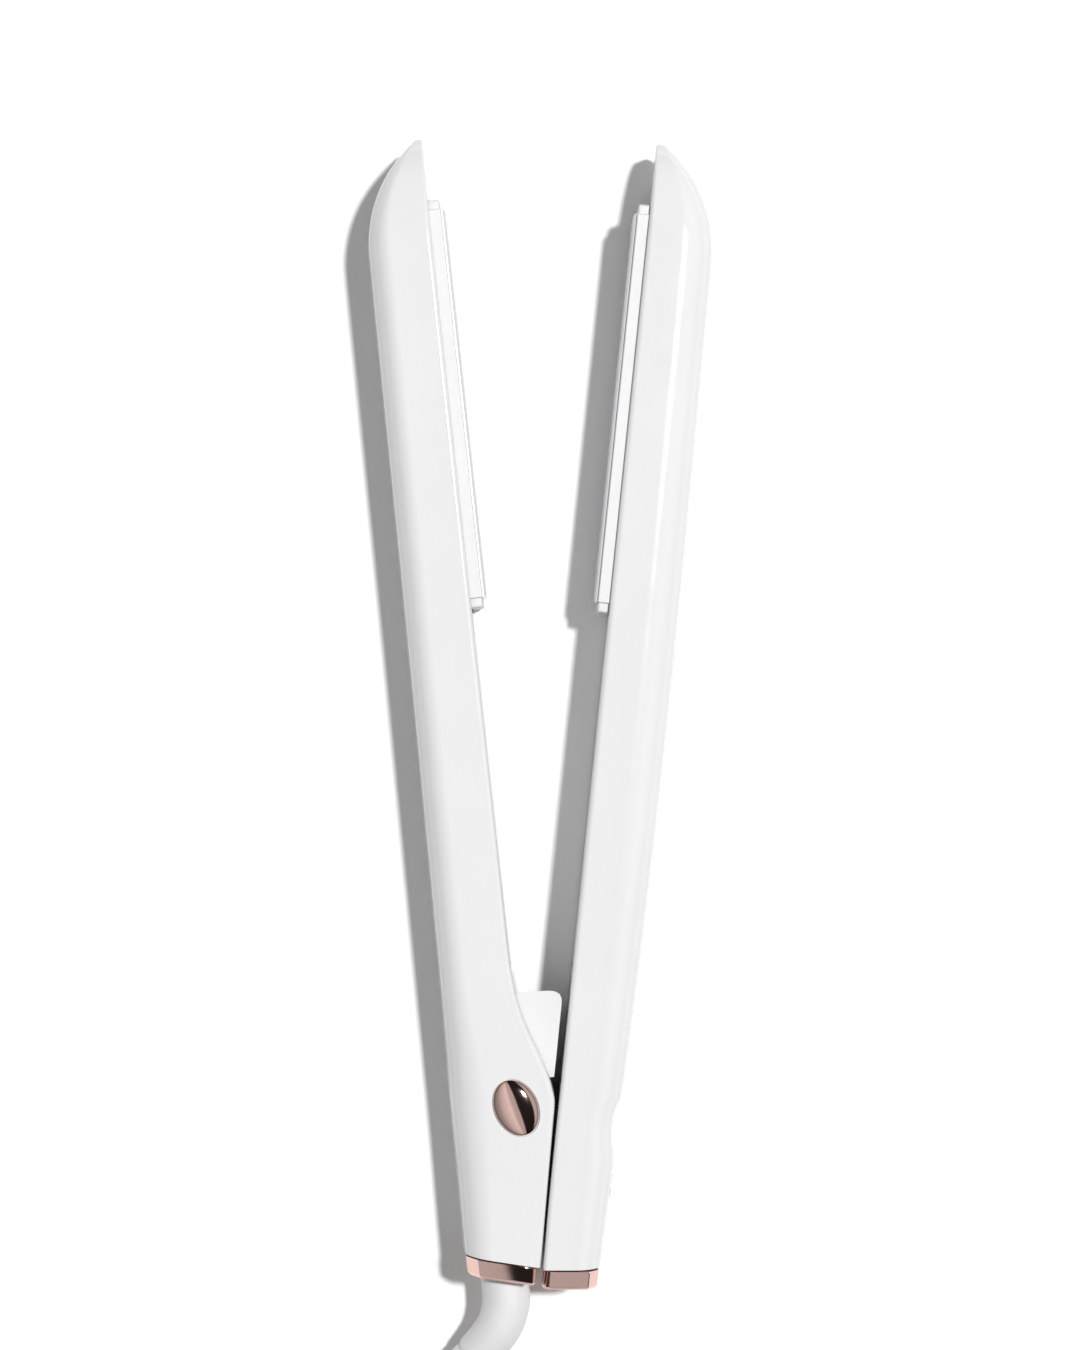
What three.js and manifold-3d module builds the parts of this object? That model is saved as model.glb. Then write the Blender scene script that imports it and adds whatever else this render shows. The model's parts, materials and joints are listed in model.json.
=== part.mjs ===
// A flat iron (hair straightener) lying open on its side, in millimetres, +Z up.
// The hinge axis is the Z axis, the tips point to +Y, and the flat sides rest on Z = 0.
// Both arms are drawn as they stand when the iron is shut, then turned out about the hinge.
import * as THREE from 'three';
import { mergeVertices } from 'three/addons/utils/BufferGeometryUtils.js';
import Module from 'manifold-3d';

const wasm = await Module();
wasm.setup();

// ---- Driving dimensions ----
const ARM_WIDTH = 32;
const MID = ARM_WIDTH / 2;
const WALL = 1.8;
const GAP = 0.3;
const LEFT_TURN = THREE.MathUtils.degToRad(6.15);
const RIGHT_TURN = THREE.MathUtils.degToRad(-5.85);

const OUTER_RADIUS = 7;
const INNER_RADIUS = 1.2;
const TAIL_END = -41;
const CAP_DEPTH = 5.1;
const CAP_CHAMFER = 0.9;
const TIP_ARC = 37;
const TIP_START = 223.5;
const TIP_LENGTH = 29.5;
const TAPER_START = 229;
const TAPER_LENGTH = 24.5;
const TAPER = 13;
const CAVITY_END = 242;

const PLATE_LENGTH = 101.6;
const PLATE_WIDTH = 25.4;
const PLATE_THICK = 1.1;
const NUB = 2.5;
const CARRIER_WIDTH = ARM_WIDTH - 2 * WALL - 0.8;
const CARRIER_DEPTH = 6.8;
const PLATE_SEAT = 0.1;
const OPENING_START = 36;

const PIN_RADIUS = 2;
const RUNNING = 0.05;
const BUSH_WALL = 0.55;
const EAR_RADIUS = 6;
const EAR_THICK = 6;
const LUG_LOW = 9.6;
const LUG_HIGH = ARM_WIDTH - LUG_LOW;
const LUG_ARM_HIGH = 14;
const BLOCK_LOW = 6;
const BLOCK_HIGH = ARM_WIDTH - BLOCK_LOW;

const BADGE_LONG = 7.5;
const BADGE_SHORT = 5.5;
const BADGE_LEAN = THREE.MathUtils.degToRad(19);
const BADGE_POCKET = 0.9;
const BADGE_DOME = 1.2;

const SWIVEL_X = -8;
const SOCKET_RADIUS = 6.6;
const SPINDLE_RADIUS = 3.8;

const BOOT_RADIUS = 6.4;
const CORD_RADIUS = 3.15;
const COIL_RADIUS = 34.2;
const COIL_COLUMNS = 4;
const COIL_LAYERS = 3;
const COIL_X = 12;
const COIL_Y = -151;
const TIE_WIDTH = 10;
const TIE_THICK = 0.9;

// Where each arm's outer and inner faces run. u is the distance from the hinge axis, growing
// towards the arm's outer face, and y runs from the tail to the tip. side turns u into x.
const LEFT = {
  side: -1,
  outer: [[-44, 17.4], [0, 16.6], [56, 15.9], [129, 15.1], [184, 14.7], [TIP_START, 14.4]],
  inner: [[-46.2, -0.9], [-41.2, -2], [-2, -9.75], [1, -10.3], [2.6, -9.9], [6.6, -9], [12, -7.4],
    [17.4, -5.9], [22.9, -3.6], [33, -2.4], [CAVITY_END, -2.4]],
  tailAtAxis: -41.5,
  tailSlope: -0.26,
};
const RIGHT = {
  side: 1,
  outer: [[-44, 25.7], [-37.5, 25.9], [-11, 26.7], [-8, 25.8], [-3, 25.4], [1.5, 25.9],
    [4.5, 27], [12, 27.2], [41, 28.1], [80, 28.8], [129, 29], [184, 28.6], [TIP_START, 28.2]],
  inner: [[-41, 11.3], [-22, 10.9], [CAVITY_END, 10.9]],
  tailAtAxis: -42.3,
  tailSlope: 0.1,
};
const PLATE_FACE = 6.6;
const PLATE_START = 132.4;
const CLOSED_GAP = 0.1;

// ---- Materials ----
const finish = (color, roughness, metalness) => new THREE.MeshStandardMaterial({ color, roughness, metalness });
const GLOSS_WHITE = finish(0xf2f2f3, 0.18, 0);
const SATIN_WHITE = finish(0xe9e9ea, 0.45, 0);
const CERAMIC = finish(0xdedfe2, 0.25, 0.3);
const ROSE_GOLD = finish(0xc99784, 0.12, 1);
const STEEL = finish(0xa8abb0, 0.3, 1);
const BRASS = finish(0xb99a55, 0.35, 1);
const NYLON = finish(0x77797d, 0.55, 0);
const BOARD = finish(0x1f5b3a, 0.6, 0);
const SWITCH = finish(0x26272a, 0.5, 0);
const HEATER = finish(0xc8b79a, 0.6, 0);
const CLEAR = finish(0xf7f9fb, 0.15, 0);
const CORD_WHITE = finish(0xe6e6e7, 0.5, 0);
const WIRE = finish(0x8c2f2a, 0.6, 0);

// ---- Geometry helpers ----
function along(table, y) {
  const last = table.length - 1;
  if (y <= table[0][0]) return table[0][1];
  if (y >= table[last][0]) return table[last][1];
  const next = table.findIndex(([at]) => at > y);
  const [y0, u0] = table[next - 1];
  const [y1, u1] = table[next];
  return u0 + ((u1 - u0) * (y - y0)) / (y1 - y0);
}

// A solid for cutting and joining, from any closed three.js geometry.
function solid(geometry) {
  const plain = geometry.clone();
  plain.deleteAttribute('normal');
  plain.deleteAttribute('uv');
  const merged = mergeVertices(plain, 1e-4);
  return new wasm.Manifold(new wasm.Mesh({
    numProp: 3,
    vertProperties: merged.attributes.position.array,
    triVerts: new Uint32Array(merged.index.array),
  }));
}

function geometryOf(manifold) {
  const mesh = manifold.getMesh();
  const geometry = new THREE.BufferGeometry();
  geometry.setAttribute('position', new THREE.BufferAttribute(mesh.vertProperties, 3));
  geometry.setIndex(new THREE.BufferAttribute(mesh.triVerts, 1));
  return geometry;
}

function cut(body, ...tools) {
  return geometryOf(tools.reduce((left, tool) => left.subtract(solid(tool)), solid(body)));
}

function join(...bodies) {
  return geometryOf(bodies.slice(1).reduce((sum, body) => sum.add(solid(body)), solid(bodies[0])));
}

function block(x0, x1, y0, y1, z0, z1) {
  const box = new THREE.BoxGeometry(Math.abs(x1 - x0), Math.abs(y1 - y0), Math.abs(z1 - z0));
  return box.translate((x0 + x1) / 2, (y0 + y1) / 2, (z0 + z1) / 2);
}

function prism(outline, z0, z1) {
  const shape = new THREE.Shape(outline.map(([x, y]) => new THREE.Vector2(x, y)));
  const flat = new THREE.ExtrudeGeometry(shape, { depth: z1 - z0, bevelEnabled: false });
  return flat.translate(0, 0, z0);
}

// A turned piece standing on Z: [radius, height] pairs from its bottom to its top.
function turned(profile, sides) {
  const points = profile.map(([radius, height]) => new THREE.Vector2(radius, height));
  return new THREE.LatheGeometry(points, sides).rotateX(Math.PI / 2);
}

function rod(radius, from, to, sides = 24) {
  return turned([[0, from], [radius, from], [radius, to], [0, to]], sides);
}

function ring(inner, outer, from, to, sides = 24) {
  return turned([[inner, from], [outer, from], [outer, to], [inner, to], [inner, from]], sides);
}

// The same pieces with their axis along X or Y.
const layAlongX = (geometry, y, z) => geometry.rotateY(Math.PI / 2).translate(0, y, z);
const layAlongY = (geometry, x, z) => geometry.rotateX(-Math.PI / 2).translate(x, 0, z);

// A round wire or hose through points, with a step count of its own.
function tube(points, radius, sides, steps) {
  const path = new THREE.CatmullRomCurve3(points);
  const circle = new THREE.Shape();
  for (let i = 0; i < sides; i += 1) {
    const angle = (2 * Math.PI * i) / sides;
    const x = radius * Math.cos(angle);
    const y = radius * Math.sin(angle);
    if (i === 0) circle.moveTo(x, y);
    else circle.lineTo(x, y);
  }
  return new THREE.ExtrudeGeometry(circle, { steps, extrudePath: path });
}

// A closed skin over rings of points, each ring with the same number of points.
function loft(rings) {
  const count = rings[0].length;
  const positions = rings.flat().flatMap((point) => point.toArray());
  const faces = [];
  for (let r = 0; r + 1 < rings.length; r += 1) {
    for (let i = 0; i < count; i += 1) {
      const a = r * count + i;
      const b = r * count + ((i + 1) % count);
      faces.push(a, b, a + count, b, b + count, a + count);
    }
  }
  const end = (rings.length - 1) * count;
  for (let i = 1; i + 1 < count; i += 1) {
    faces.push(0, i + 1, i);
    faces.push(end, end + i, end + i + 1);
  }
  const at = (i) => new THREE.Vector3().fromArray(positions, 3 * i);
  let volume = 0;
  for (let i = 0; i < faces.length; i += 3) {
    volume += at(faces[i]).dot(at(faces[i + 1]).cross(at(faces[i + 2])));
  }
  if (volume < 0) faces.reverse();
  const geometry = new THREE.BufferGeometry();
  geometry.setAttribute('position', new THREE.Float32BufferAttribute(positions, 3));
  geometry.setIndex(faces);
  return geometry;
}

// A tapering round sleeve along a curve, its radius going from start to end.
function sleeve(points, startRadius, endRadius, steps, sides = 16) {
  const path = new THREE.CatmullRomCurve3(points);
  const frames = path.computeFrenetFrames(steps, false);
  const rings = [];
  for (let s = 0; s <= steps; s += 1) {
    const centre = path.getPointAt(s / steps);
    const radius = startRadius + ((endRadius - startRadius) * s) / steps;
    const ringPoints = [];
    for (let i = 0; i < sides; i += 1) {
      const angle = (2 * Math.PI * i) / sides;
      ringPoints.push(centre.clone()
        .addScaledVector(frames.normals[s], radius * Math.cos(angle))
        .addScaledVector(frames.binormals[s], radius * Math.sin(angle)));
    }
    rings.push(ringPoints);
  }
  return loft(rings);
}

// A coil spring of round wire on the Z axis.
function coilSpring(radius, wire, from, to, turns) {
  const points = [];
  const perTurn = 8;
  for (let i = 0; i <= turns * perTurn; i += 1) {
    const angle = (2 * Math.PI * i) / perTurn;
    const height = from + wire + ((to - from - 2 * wire) * i) / (turns * perTurn);
    points.push(new THREE.Vector3(radius * Math.cos(angle), radius * Math.sin(angle), height));
  }
  return tube(points, wire, 6, turns * perTurn);
}

// ---- Arm casings ----
function outerAt(arm, y) {
  if (y <= TIP_START) return along(arm.outer, y);
  const rise = y - TIP_START;
  const arcEnd = TIP_ARC * Math.SQRT1_2;
  const start = along(arm.outer, TIP_START) - TIP_ARC;
  if (rise <= arcEnd) return start + Math.sqrt(TIP_ARC ** 2 - rise ** 2);
  return start + arcEnd - (rise - arcEnd);
}

function halfWidthAt(y) {
  const t = THREE.MathUtils.clamp((y - TAPER_START) / TAPER_LENGTH, 0, 0.98);
  return MID - TAPER * (1 - Math.sqrt(1 - t * t));
}

// One cross-section as [u, z] pairs: small corners on the inner edge, large ones outside.
function crossSection(arm, y, inset) {
  const inner = along(arm.inner, y) + inset;
  const outer = outerAt(arm, y) - inset;
  const half = halfWidthAt(y) - inset;
  const thick = outer - inner;
  const large = Math.min(OUTER_RADIUS - inset, 0.42 * thick);
  const small = Math.min(INNER_RADIUS, 0.2 * thick);
  const corners = [
    [inner + small, MID - half + small, small, Math.PI, 3],
    [outer - large, MID - half + large, large, 1.5 * Math.PI, 7],
    [outer - large, MID + half - large, large, 0, 7],
    [inner + small, MID + half - small, small, 0.5 * Math.PI, 3],
  ];
  return corners.flatMap(([u, z, radius, from, count]) => Array.from({ length: count }, (_, i) => {
    const angle = from + (0.5 * Math.PI * i) / (count - 1);
    return [u + radius * Math.cos(angle), z + radius * Math.sin(angle)];
  }));
}

const levelRing = (arm, y, inset) => crossSection(arm, y, inset)
  .map(([u, z]) => new THREE.Vector3(arm.side * u, y, z));

// A ring parallel to the slanted joint between the casing and its end cap.
const slantRing = (arm, below, inset) => crossSection(arm, TAIL_END - below, inset).map(([u, z]) => {
  const x = arm.side * u;
  return new THREE.Vector3(x, arm.tailAtAxis + arm.tailSlope * x - below, z);
});

const BODY_STATIONS = [-30, -20, -11, -8, -3, 1.5, 4.5, 8, 12, 17.4, 22.9, 33, 80, 129, 184, TIP_START];
const TIP_STATIONS = [6, 12, 17, 21, 24, 26.2, TIP_LENGTH].map((rise) => TIP_START + rise);

// The outside of a casing, from the slanted tail to the rounded nose of the tip.
function casing(arm) {
  const nose = levelRing(arm, TIP_START + TIP_LENGTH, 0);
  const centre = nose.reduce((sum, p) => sum.add(p), new THREE.Vector3()).divideScalar(nose.length);
  const blunt = nose.map((p) => p.clone().lerp(centre, 0.4).add(new THREE.Vector3(0, 0.6, 0)));
  const rings = [...BODY_STATIONS, ...TIP_STATIONS].map((y) => levelRing(arm, y, 0));
  return loft([slantRing(arm, 0, 0), ...rings, blunt]);
}

// The hollow inside a casing, open at the tail.
function cavity(arm) {
  const ys = [...BODY_STATIONS, ...TIP_STATIONS].filter((y) => y < CAVITY_END);
  const rings = [...ys, CAVITY_END].map((y) => levelRing(arm, y, WALL));
  return loft([slantRing(arm, 3, WALL), ...rings]);
}

// Screw posts stand on the outer wall and reach the inner cover.
const SCREW_YS = [52, 112];
const SPRING_YS = [136.4, 229.8];

function facing(arm) {
  const face = arm.side * along(arm.inner, 100);
  return { face, inward: arm.side };
}

function screwPosts(arm) {
  const { face, inward } = facing(arm);
  const wall = arm.side * (outerAt(arm, 80) - WALL / 2);
  const foot = face + inward * 2.1;
  return SCREW_YS.map((y) => layAlongX(rod(3, Math.min(foot, wall), Math.max(foot, wall), 12), y, MID));
}

function screwHoles(arm) {
  const { face, inward } = facing(arm);
  const deep = face + inward * 10;
  return SCREW_YS.map((y) => layAlongX(rod(1.45, Math.min(face, deep), Math.max(face, deep), 10), y, MID));
}

function armShell(arm, windows) {
  const { face, inward } = facing(arm);
  const opening = block(
    face - inward, face + inward * 3.2,
    OPENING_START, PLATE_START + PLATE_LENGTH + NUB + 0.4,
    WALL, ARM_WIDTH - WALL,
  );
  const hollow = cut(casing(arm), cavity(arm), opening);
  return cut(join(hollow, ...screwPosts(arm)), ...screwHoles(arm), ...windows);
}

function endCap(arm) {
  return loft([
    slantRing(arm, GAP, 0),
    slantRing(arm, CAP_DEPTH - CAP_CHAMFER, 0.1),
    slantRing(arm, CAP_DEPTH, 0.1 + CAP_CHAMFER),
  ]);
}

function innerCover(arm) {
  const { face, inward } = facing(arm);
  const front = face + inward * 0.3;
  const plate = block(
    front, face + inward * 1.7,
    OPENING_START + GAP, PLATE_START - NUB - GAP, WALL + GAP, ARM_WIDTH - WALL - GAP,
  );
  const reach = face + inward * 4;
  const holes = SCREW_YS.map((y) => layAlongX(
    rod(2.6, Math.min(face - inward, reach), Math.max(face - inward, reach), 12), y, MID,
  ));
  return cut(plate, ...holes);
}

function coverScrew(arm, y) {
  const { face, inward } = facing(arm);
  const end = face + inward * 9;
  const neck = face + inward * 1.7;
  const top = face + inward * 0.4;
  const shank = rod(1.1, Math.min(end, neck), Math.max(end, neck), 10);
  const head = rod(2.2, Math.min(neck, top), Math.max(neck, top), 12);
  return layAlongX(join(shank, head), y, MID);
}

// ---- Hinge ----
const BADGE_OUTLINE = (grow) => Array.from({ length: 28 }, (_, i) => {
  const angle = (2 * Math.PI * i) / 28;
  const across = (BADGE_SHORT + grow) * Math.cos(angle);
  const up = (BADGE_LONG + grow) * Math.sin(angle);
  return [
    across * Math.cos(BADGE_LEAN) - up * Math.sin(BADGE_LEAN),
    across * Math.sin(BADGE_LEAN) + up * Math.cos(BADGE_LEAN),
  ];
});

function badge() {
  const floor = ARM_WIDTH - BADGE_POCKET + GAP;
  const rise = ARM_WIDTH + BADGE_DOME - floor;
  const steps = [[1, 0], [1, 0.5], [0.86, 0.78], [0.62, 0.92], [0.32, 0.99]];
  return loft(steps.map(([reach, height]) => BADGE_OUTLINE(0)
    .map(([x, y]) => new THREE.Vector3(x * reach, y * reach, floor + rise * height))));
}

// The block bridges the arms. Its ears carry the hinge pin in two bushes.
function hingeBlock() {
  const bridge = prism([[-7, 6.3], [10.6, 6.3], [11.7, 11.3], [14.9, 26.8], [14.6, 28.6],
    [13.2, 29.9], [11.4, 30.3], [-7, 31.6]], BLOCK_LOW, BLOCK_HIGH);
  const ears = [3.2, ARM_WIDTH - 3.2 - EAR_THICK].flatMap((z) => [
    rod(EAR_RADIUS, z, z + EAR_THICK, 24),
    block(-EAR_RADIUS, EAR_RADIUS - 1, 0, 8, z, z + EAR_THICK),
  ]);
  const hole = rod(PIN_RADIUS + BUSH_WALL + 2 * RUNNING + GAP, 0, ARM_WIDTH, 24);
  return cut(join(bridge, ...ears), hole);
}

const hingeBush = (z) => ring(PIN_RADIUS + RUNNING, PIN_RADIUS + RUNNING + BUSH_WALL, z, z + EAR_THICK);

function hingeLug() {
  const barrel = rod(3.5, LUG_LOW, LUG_HIGH, 24);
  const reach = prism([[0.5, 3.2], [5, -0.8], [13.6, -0.8], [13.6, -9.2], [4, -9.2], [-2.2, -2.8]],
    LUG_LOW, LUG_ARM_HIGH);
  const foot = block(13, 15.4, -16, 5.6, 5.5, 26.5);
  return cut(join(barrel, reach, foot), rod(PIN_RADIUS + RUNNING, 0, ARM_WIDTH, 24));
}

// The torsion spring winds round the lug's barrel, one leg on the block and one on the lug.
function torsionSpring() {
  const coil = 4.35;
  const wire = 0.55;
  const top = 21.2;
  const low = 15.3;
  const turns = 3.25;
  const perTurn = 12;
  const points = [new THREE.Vector3(-coil, 5.5, top), new THREE.Vector3(-coil, 2.6, top)];
  for (let i = 0; i <= turns * perTurn; i += 1) {
    const angle = Math.PI + (2 * Math.PI * i) / perTurn;
    const height = top + ((low - top) * i) / (turns * perTurn);
    points.push(new THREE.Vector3(coil * Math.cos(angle), coil * Math.sin(angle), height));
  }
  points.push(new THREE.Vector3(3.4, -coil, low), new THREE.Vector3(7, -coil, low));
  return tube(points, wire, 6, 54);
}

// ---- Swivel in the left arm's tail ----
const swivelAxis = (geometry) => layAlongY(geometry, SWIVEL_X, MID);

const swivelSocket = () => swivelAxis(turned([
  [SPINDLE_RADIUS + 0.1, -37.3], [SOCKET_RADIUS, -37.3], [SOCKET_RADIUS, -12], [5.6, -12],
  [5.6, -30], [SPINDLE_RADIUS + 0.1, -30], [SPINDLE_RADIUS + 0.1, -37.3],
], 24));

const swivelSpindle = () => swivelAxis(turned([
  [0, -41.6], [SPINDLE_RADIUS, -41.6], [SPINDLE_RADIUS, -29.7], [5.2, -29.7], [5.2, -27.6],
  [1.6, -27.6], [1.6, -14], [0, -14],
], 24));

const swivelContact = (y) => swivelAxis(ring(1.9, 5.3, y, y + 2));

// ---- Floating plates ----
function carrierOutline(arm) {
  const { inward } = facing(arm);
  const front = PLATE_FACE + inward * (PLATE_THICK + PLATE_SEAT);
  const back = front + inward * CARRIER_DEPTH;
  const start = PLATE_START;
  const end = PLATE_START + PLATE_LENGTH;
  const nubFront = front + inward * 0.5;
  const nubBack = front + inward * 3.4;
  return [
    [back, start], [nubBack, start], [nubBack - inward * 0.4, start - 1.8],
    [nubBack - inward * 1.2, start - NUB], [nubFront + inward * 0.6, start - NUB],
    [nubFront, start - 1.8], [nubFront, start], [front, start], [front, end], [nubFront, end],
    [nubFront, end + 1.8], [nubFront + inward * 0.6, end + NUB],
    [nubBack - inward * 1.2, end + NUB], [nubBack - inward * 0.4, end + 1.8], [nubBack, end],
    [back, end],
  ];
}

const HEATER_LOW = 7.2;
const HEATER_HIGH = ARM_WIDTH - HEATER_LOW;
const HEATER_START = PLATE_START + 8.2;
const HEATER_END = PLATE_START + PLATE_LENGTH - 8.2;

function plateCarrier(arm) {
  const outline = carrierOutline(arm);
  if (arm.side > 0) outline.reverse();
  const low = (ARM_WIDTH - CARRIER_WIDTH) / 2;
  const body = prism(outline, low, ARM_WIDTH - low);
  const window = block(-5, 20, HEATER_START - GAP, HEATER_END + GAP, HEATER_LOW, HEATER_HIGH);
  return cut(body, window);
}

function hotPlate(arm) {
  const { inward } = facing(arm);
  const gapped = PLATE_FACE + inward * CLOSED_GAP;
  const low = (ARM_WIDTH - PLATE_WIDTH) / 2;
  const back = gapped + inward * (PLATE_THICK - CLOSED_GAP);
  const slab = block(gapped, back, PLATE_START, PLATE_START + PLATE_LENGTH, low, ARM_WIDTH - low);
  const rail = block(back - inward * 0.2, back + inward * 1.6, HEATER_START, HEATER_END,
    HEATER_LOW + GAP, HEATER_HIGH - GAP);
  return join(slab, rail);
}

// Flat pieces behind the plate: how far behind its face they start, and how thick they are.
function behindPlate(arm, depth, thick, y0, y1, z0, z1) {
  const { inward } = facing(arm);
  const front = PLATE_FACE + inward * depth;
  return block(front, front + inward * thick, y0, y1, z0, z1);
}

const heater = (arm) => behindPlate(arm, 3, 1.3, HEATER_START, HEATER_END, 9, 23);
const heaterClamp = (arm) => behindPlate(arm, 4.6, 0.8, HEATER_START, HEATER_END, 11, 21);
const thermistor = (arm) => behindPlate(arm, 5.7, 1.6, 180, 184, 14, 18);

function floatSpring(arm, y) {
  const { inward } = facing(arm);
  const near = PLATE_FACE + inward * (PLATE_THICK + PLATE_SEAT + CARRIER_DEPTH + GAP);
  const far = arm.side * (outerAt(arm, y + 3) - WALL - GAP);
  const spring = coilSpring(2.6, 0.4, Math.min(near, far), Math.max(near, far), 4);
  return layAlongX(spring, y, MID);
}

// ---- Controls on the right arm ----
const BOARD_X = 17.4;
const BOARD_THICK = 1.6;
const CONTROLS = {
  power: { y: -3, z: MID, radius: 4.2, top: 25.9, flange: 21.9, travel: 0.6 },
  heat_up: { y: -19, z: MID + 4.8, radius: 2.8, top: 26.8, flange: 22.4, travel: 0.5 },
  heat_down: { y: -19, z: MID - 4.8, radius: 2.8, top: 26.8, flange: 22.4, travel: 0.5 },
};
const LIGHT_Y = -28;
const LIGHT_ZS = [-6, -3, 0, 3, 6].map((offset) => MID + offset);

const buttonHole = ({ y, z, radius }) => layAlongX(rod(radius + GAP, 20, 30, 20), y, z);
const lightHoles = () => LIGHT_ZS.map((z) => layAlongX(rod(1, 20, 30, 8), LIGHT_Y, z));

function button({ y, z, radius, top, flange }) {
  const shape = turned([[0, flange], [radius + 0.8, flange], [radius + 0.8, flange + 0.9],
    [radius, flange + 0.9], [radius, top - 0.4], [radius - 0.5, top], [0, top]], 20);
  return layAlongX(shape, y, z);
}

function tactSwitch({ y, z, flange, travel }) {
  const base = BOARD_X + BOARD_THICK + GAP;
  return join(block(base, base + 1.4, y - 2, y + 2, z - 2, z + 2),
    layAlongX(rod(1, base + 1, flange - travel - 0.1, 10), y, z));
}

function lightPipe() {
  const tips = LIGHT_ZS.map((z) => layAlongX(rod(0.7, 22.8, 26.1, 8), LIGHT_Y, z));
  return join(block(21.9, 23, LIGHT_Y - 1.4, LIGHT_Y + 1.4, MID - 7.4, MID + 7.4), ...tips);
}

// ---- Cord ----
const at = (x, y, z) => new THREE.Vector3(x, y, z);
const BOOT = [at(-3.44, -42.72, 16), at(-2.8, -48.8, 16), at(-2.8, -53.6, 15.9),
  at(-4.3, -58.8, 15.4), at(-7.5, -63.6, 14), at(-12, -68.4, 12)];
const RELIEF = [at(-12.3, -68.7, 11.9), at(-20, -77, 9), at(-27, -86.5, 6), at(-31, -97, 4.2)];
const LEAD = [at(-31.2, -97.6, 4.1), at(-33.6, -106, 3.5), at(-35.4, -114, 3.2), at(-36.7, -122, 3.2),
  at(-37.4, -131, 3.2), at(-37.5, -142, 3.2)];
const COIL_HALF = (COIL_COLUMNS / 2) * 2 * CORD_RADIUS;
const COIL_HIGH = COIL_LAYERS * 2 * CORD_RADIUS;
const PLUG_X = COIL_X + COIL_RADIUS + COIL_HALF + 6.2;
const PLUG_START = -130.5;
const PLUG_LEAD = [at(PLUG_X - 3, -146.5, 7), at(PLUG_X - 0.8, -138, 7.7),
  at(PLUG_X, PLUG_START - 2 * GAP, 8)];

// The coil as one ring, necked where the tie holds it.
function coilRing() {
  const section = [
    [COIL_RADIUS - COIL_HALF, 0], [COIL_RADIUS + COIL_HALF, 0],
    [COIL_RADIUS + COIL_HALF, COIL_HIGH], [COIL_RADIUS - COIL_HALF, COIL_HIGH],
    [COIL_RADIUS - COIL_HALF, 0],
  ];
  const whole = turned(section, 40);
  const neck = cut(
    block(-TIE_WIDTH / 2 - 1, TIE_WIDTH / 2 + 1, -60, -10, -5, COIL_HIGH + 5),
    tieBlock(2, TIE_THICK + GAP),
  );
  return cut(whole, neck).translate(COIL_X, COIL_Y, 0);
}

function tieBlock(extra, inset) {
  return block(
    -TIE_WIDTH / 2 - extra, TIE_WIDTH / 2 + extra,
    -COIL_RADIUS - COIL_HALF + inset, -COIL_RADIUS + COIL_HALF - inset, inset, COIL_HIGH - inset,
  );
}

const cordTie = () => cut(tieBlock(0, 0), tieBlock(1, TIE_THICK)).translate(COIL_X, COIL_Y, 0);

// The plug is moulded with its own tapered relief, which faces the coil.
function plugBody() {
  const outline = [[-4.2, 0], [4.2, 0], [5.2, 14], [12.5, 20], [13, 24], [13, 38], [11.5, 40],
    [-11.5, 40], [-13, 38], [-13, 24], [-12.5, 20], [-5.2, 14]];
  return prism(outline, 0, 16).translate(PLUG_X, PLUG_START, 0);
}

const plugBlade = (offset) => block(PLUG_X + offset - 0.75, PLUG_X + offset + 0.75,
  PLUG_START + 40.3, PLUG_START + 56, 4.8, 11.2);

// ---- Assembly ----
const iron = new THREE.Group();
const leftArm = new THREE.Group();
const rightArm = new THREE.Group();
leftArm.rotation.z = LEFT_TURN;
rightArm.rotation.z = RIGHT_TURN;
iron.add(leftArm, rightArm);

function place(group, name, geometry, material) {
  const mesh = new THREE.Mesh(geometry, material);
  mesh.name = name;
  group.add(mesh);
}

const blockWindow = (x0, x1) => block(x0, x1, 5.2, 34, BLOCK_LOW - GAP, BLOCK_HIGH + GAP);
const lugWindow = (x0, x1) => block(x0, x1, -13, 5.4, LUG_LOW - GAP, LUG_HIGH + GAP);
const badgePockets = [
  prism(BADGE_OUTLINE(GAP), ARM_WIDTH - BADGE_POCKET, ARM_WIDTH + 1),
  prism(BADGE_OUTLINE(GAP), -1, BADGE_POCKET),
];
const bootHole = swivelAxis(rod(BOOT_RADIUS + 0.35, -60, -36, 24));

const leftWindows = [blockWindow(0, 14), lugWindow(2, 14), ...badgePockets];
place(leftArm, 'left_shell', armShell(LEFT, leftWindows), GLOSS_WHITE);
place(leftArm, 'left_inner_cover', innerCover(LEFT), SATIN_WHITE);
place(leftArm, 'left_end_cap', cut(endCap(LEFT), bootHole), ROSE_GOLD);
place(leftArm, 'hinge_badge', badge(), ROSE_GOLD);
place(leftArm, 'hinge_rear_cap', prism(BADGE_OUTLINE(0), 0, BADGE_POCKET - GAP), SATIN_WHITE);
place(leftArm, 'hinge_block', hingeBlock(), SATIN_WHITE);
place(leftArm, 'hinge_pin', rod(PIN_RADIUS, 2.4, ARM_WIDTH - 2.4), STEEL);
place(leftArm, 'hinge_bush_rear', hingeBush(3.2), BRASS);
place(leftArm, 'hinge_bush_front', hingeBush(ARM_WIDTH - 3.2 - EAR_THICK), BRASS);
place(leftArm, 'hinge_spring', torsionSpring(), STEEL);
place(leftArm, 'swivel_socket', swivelSocket(), NYLON);
place(leftArm, 'swivel_contact_line', swivelContact(-25), BRASS);
place(leftArm, 'swivel_contact_neutral', swivelContact(-19), BRASS);
place(leftArm, 'left_harness', tube([
  at(-8, -9.5, 16), at(-11.5, -2, 12), at(-11.8, 12, 9), at(-9, 32, 7), at(-6, 70, 7), at(-6, 128, 7),
], 1.4, 6, 16), WIRE);

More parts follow.
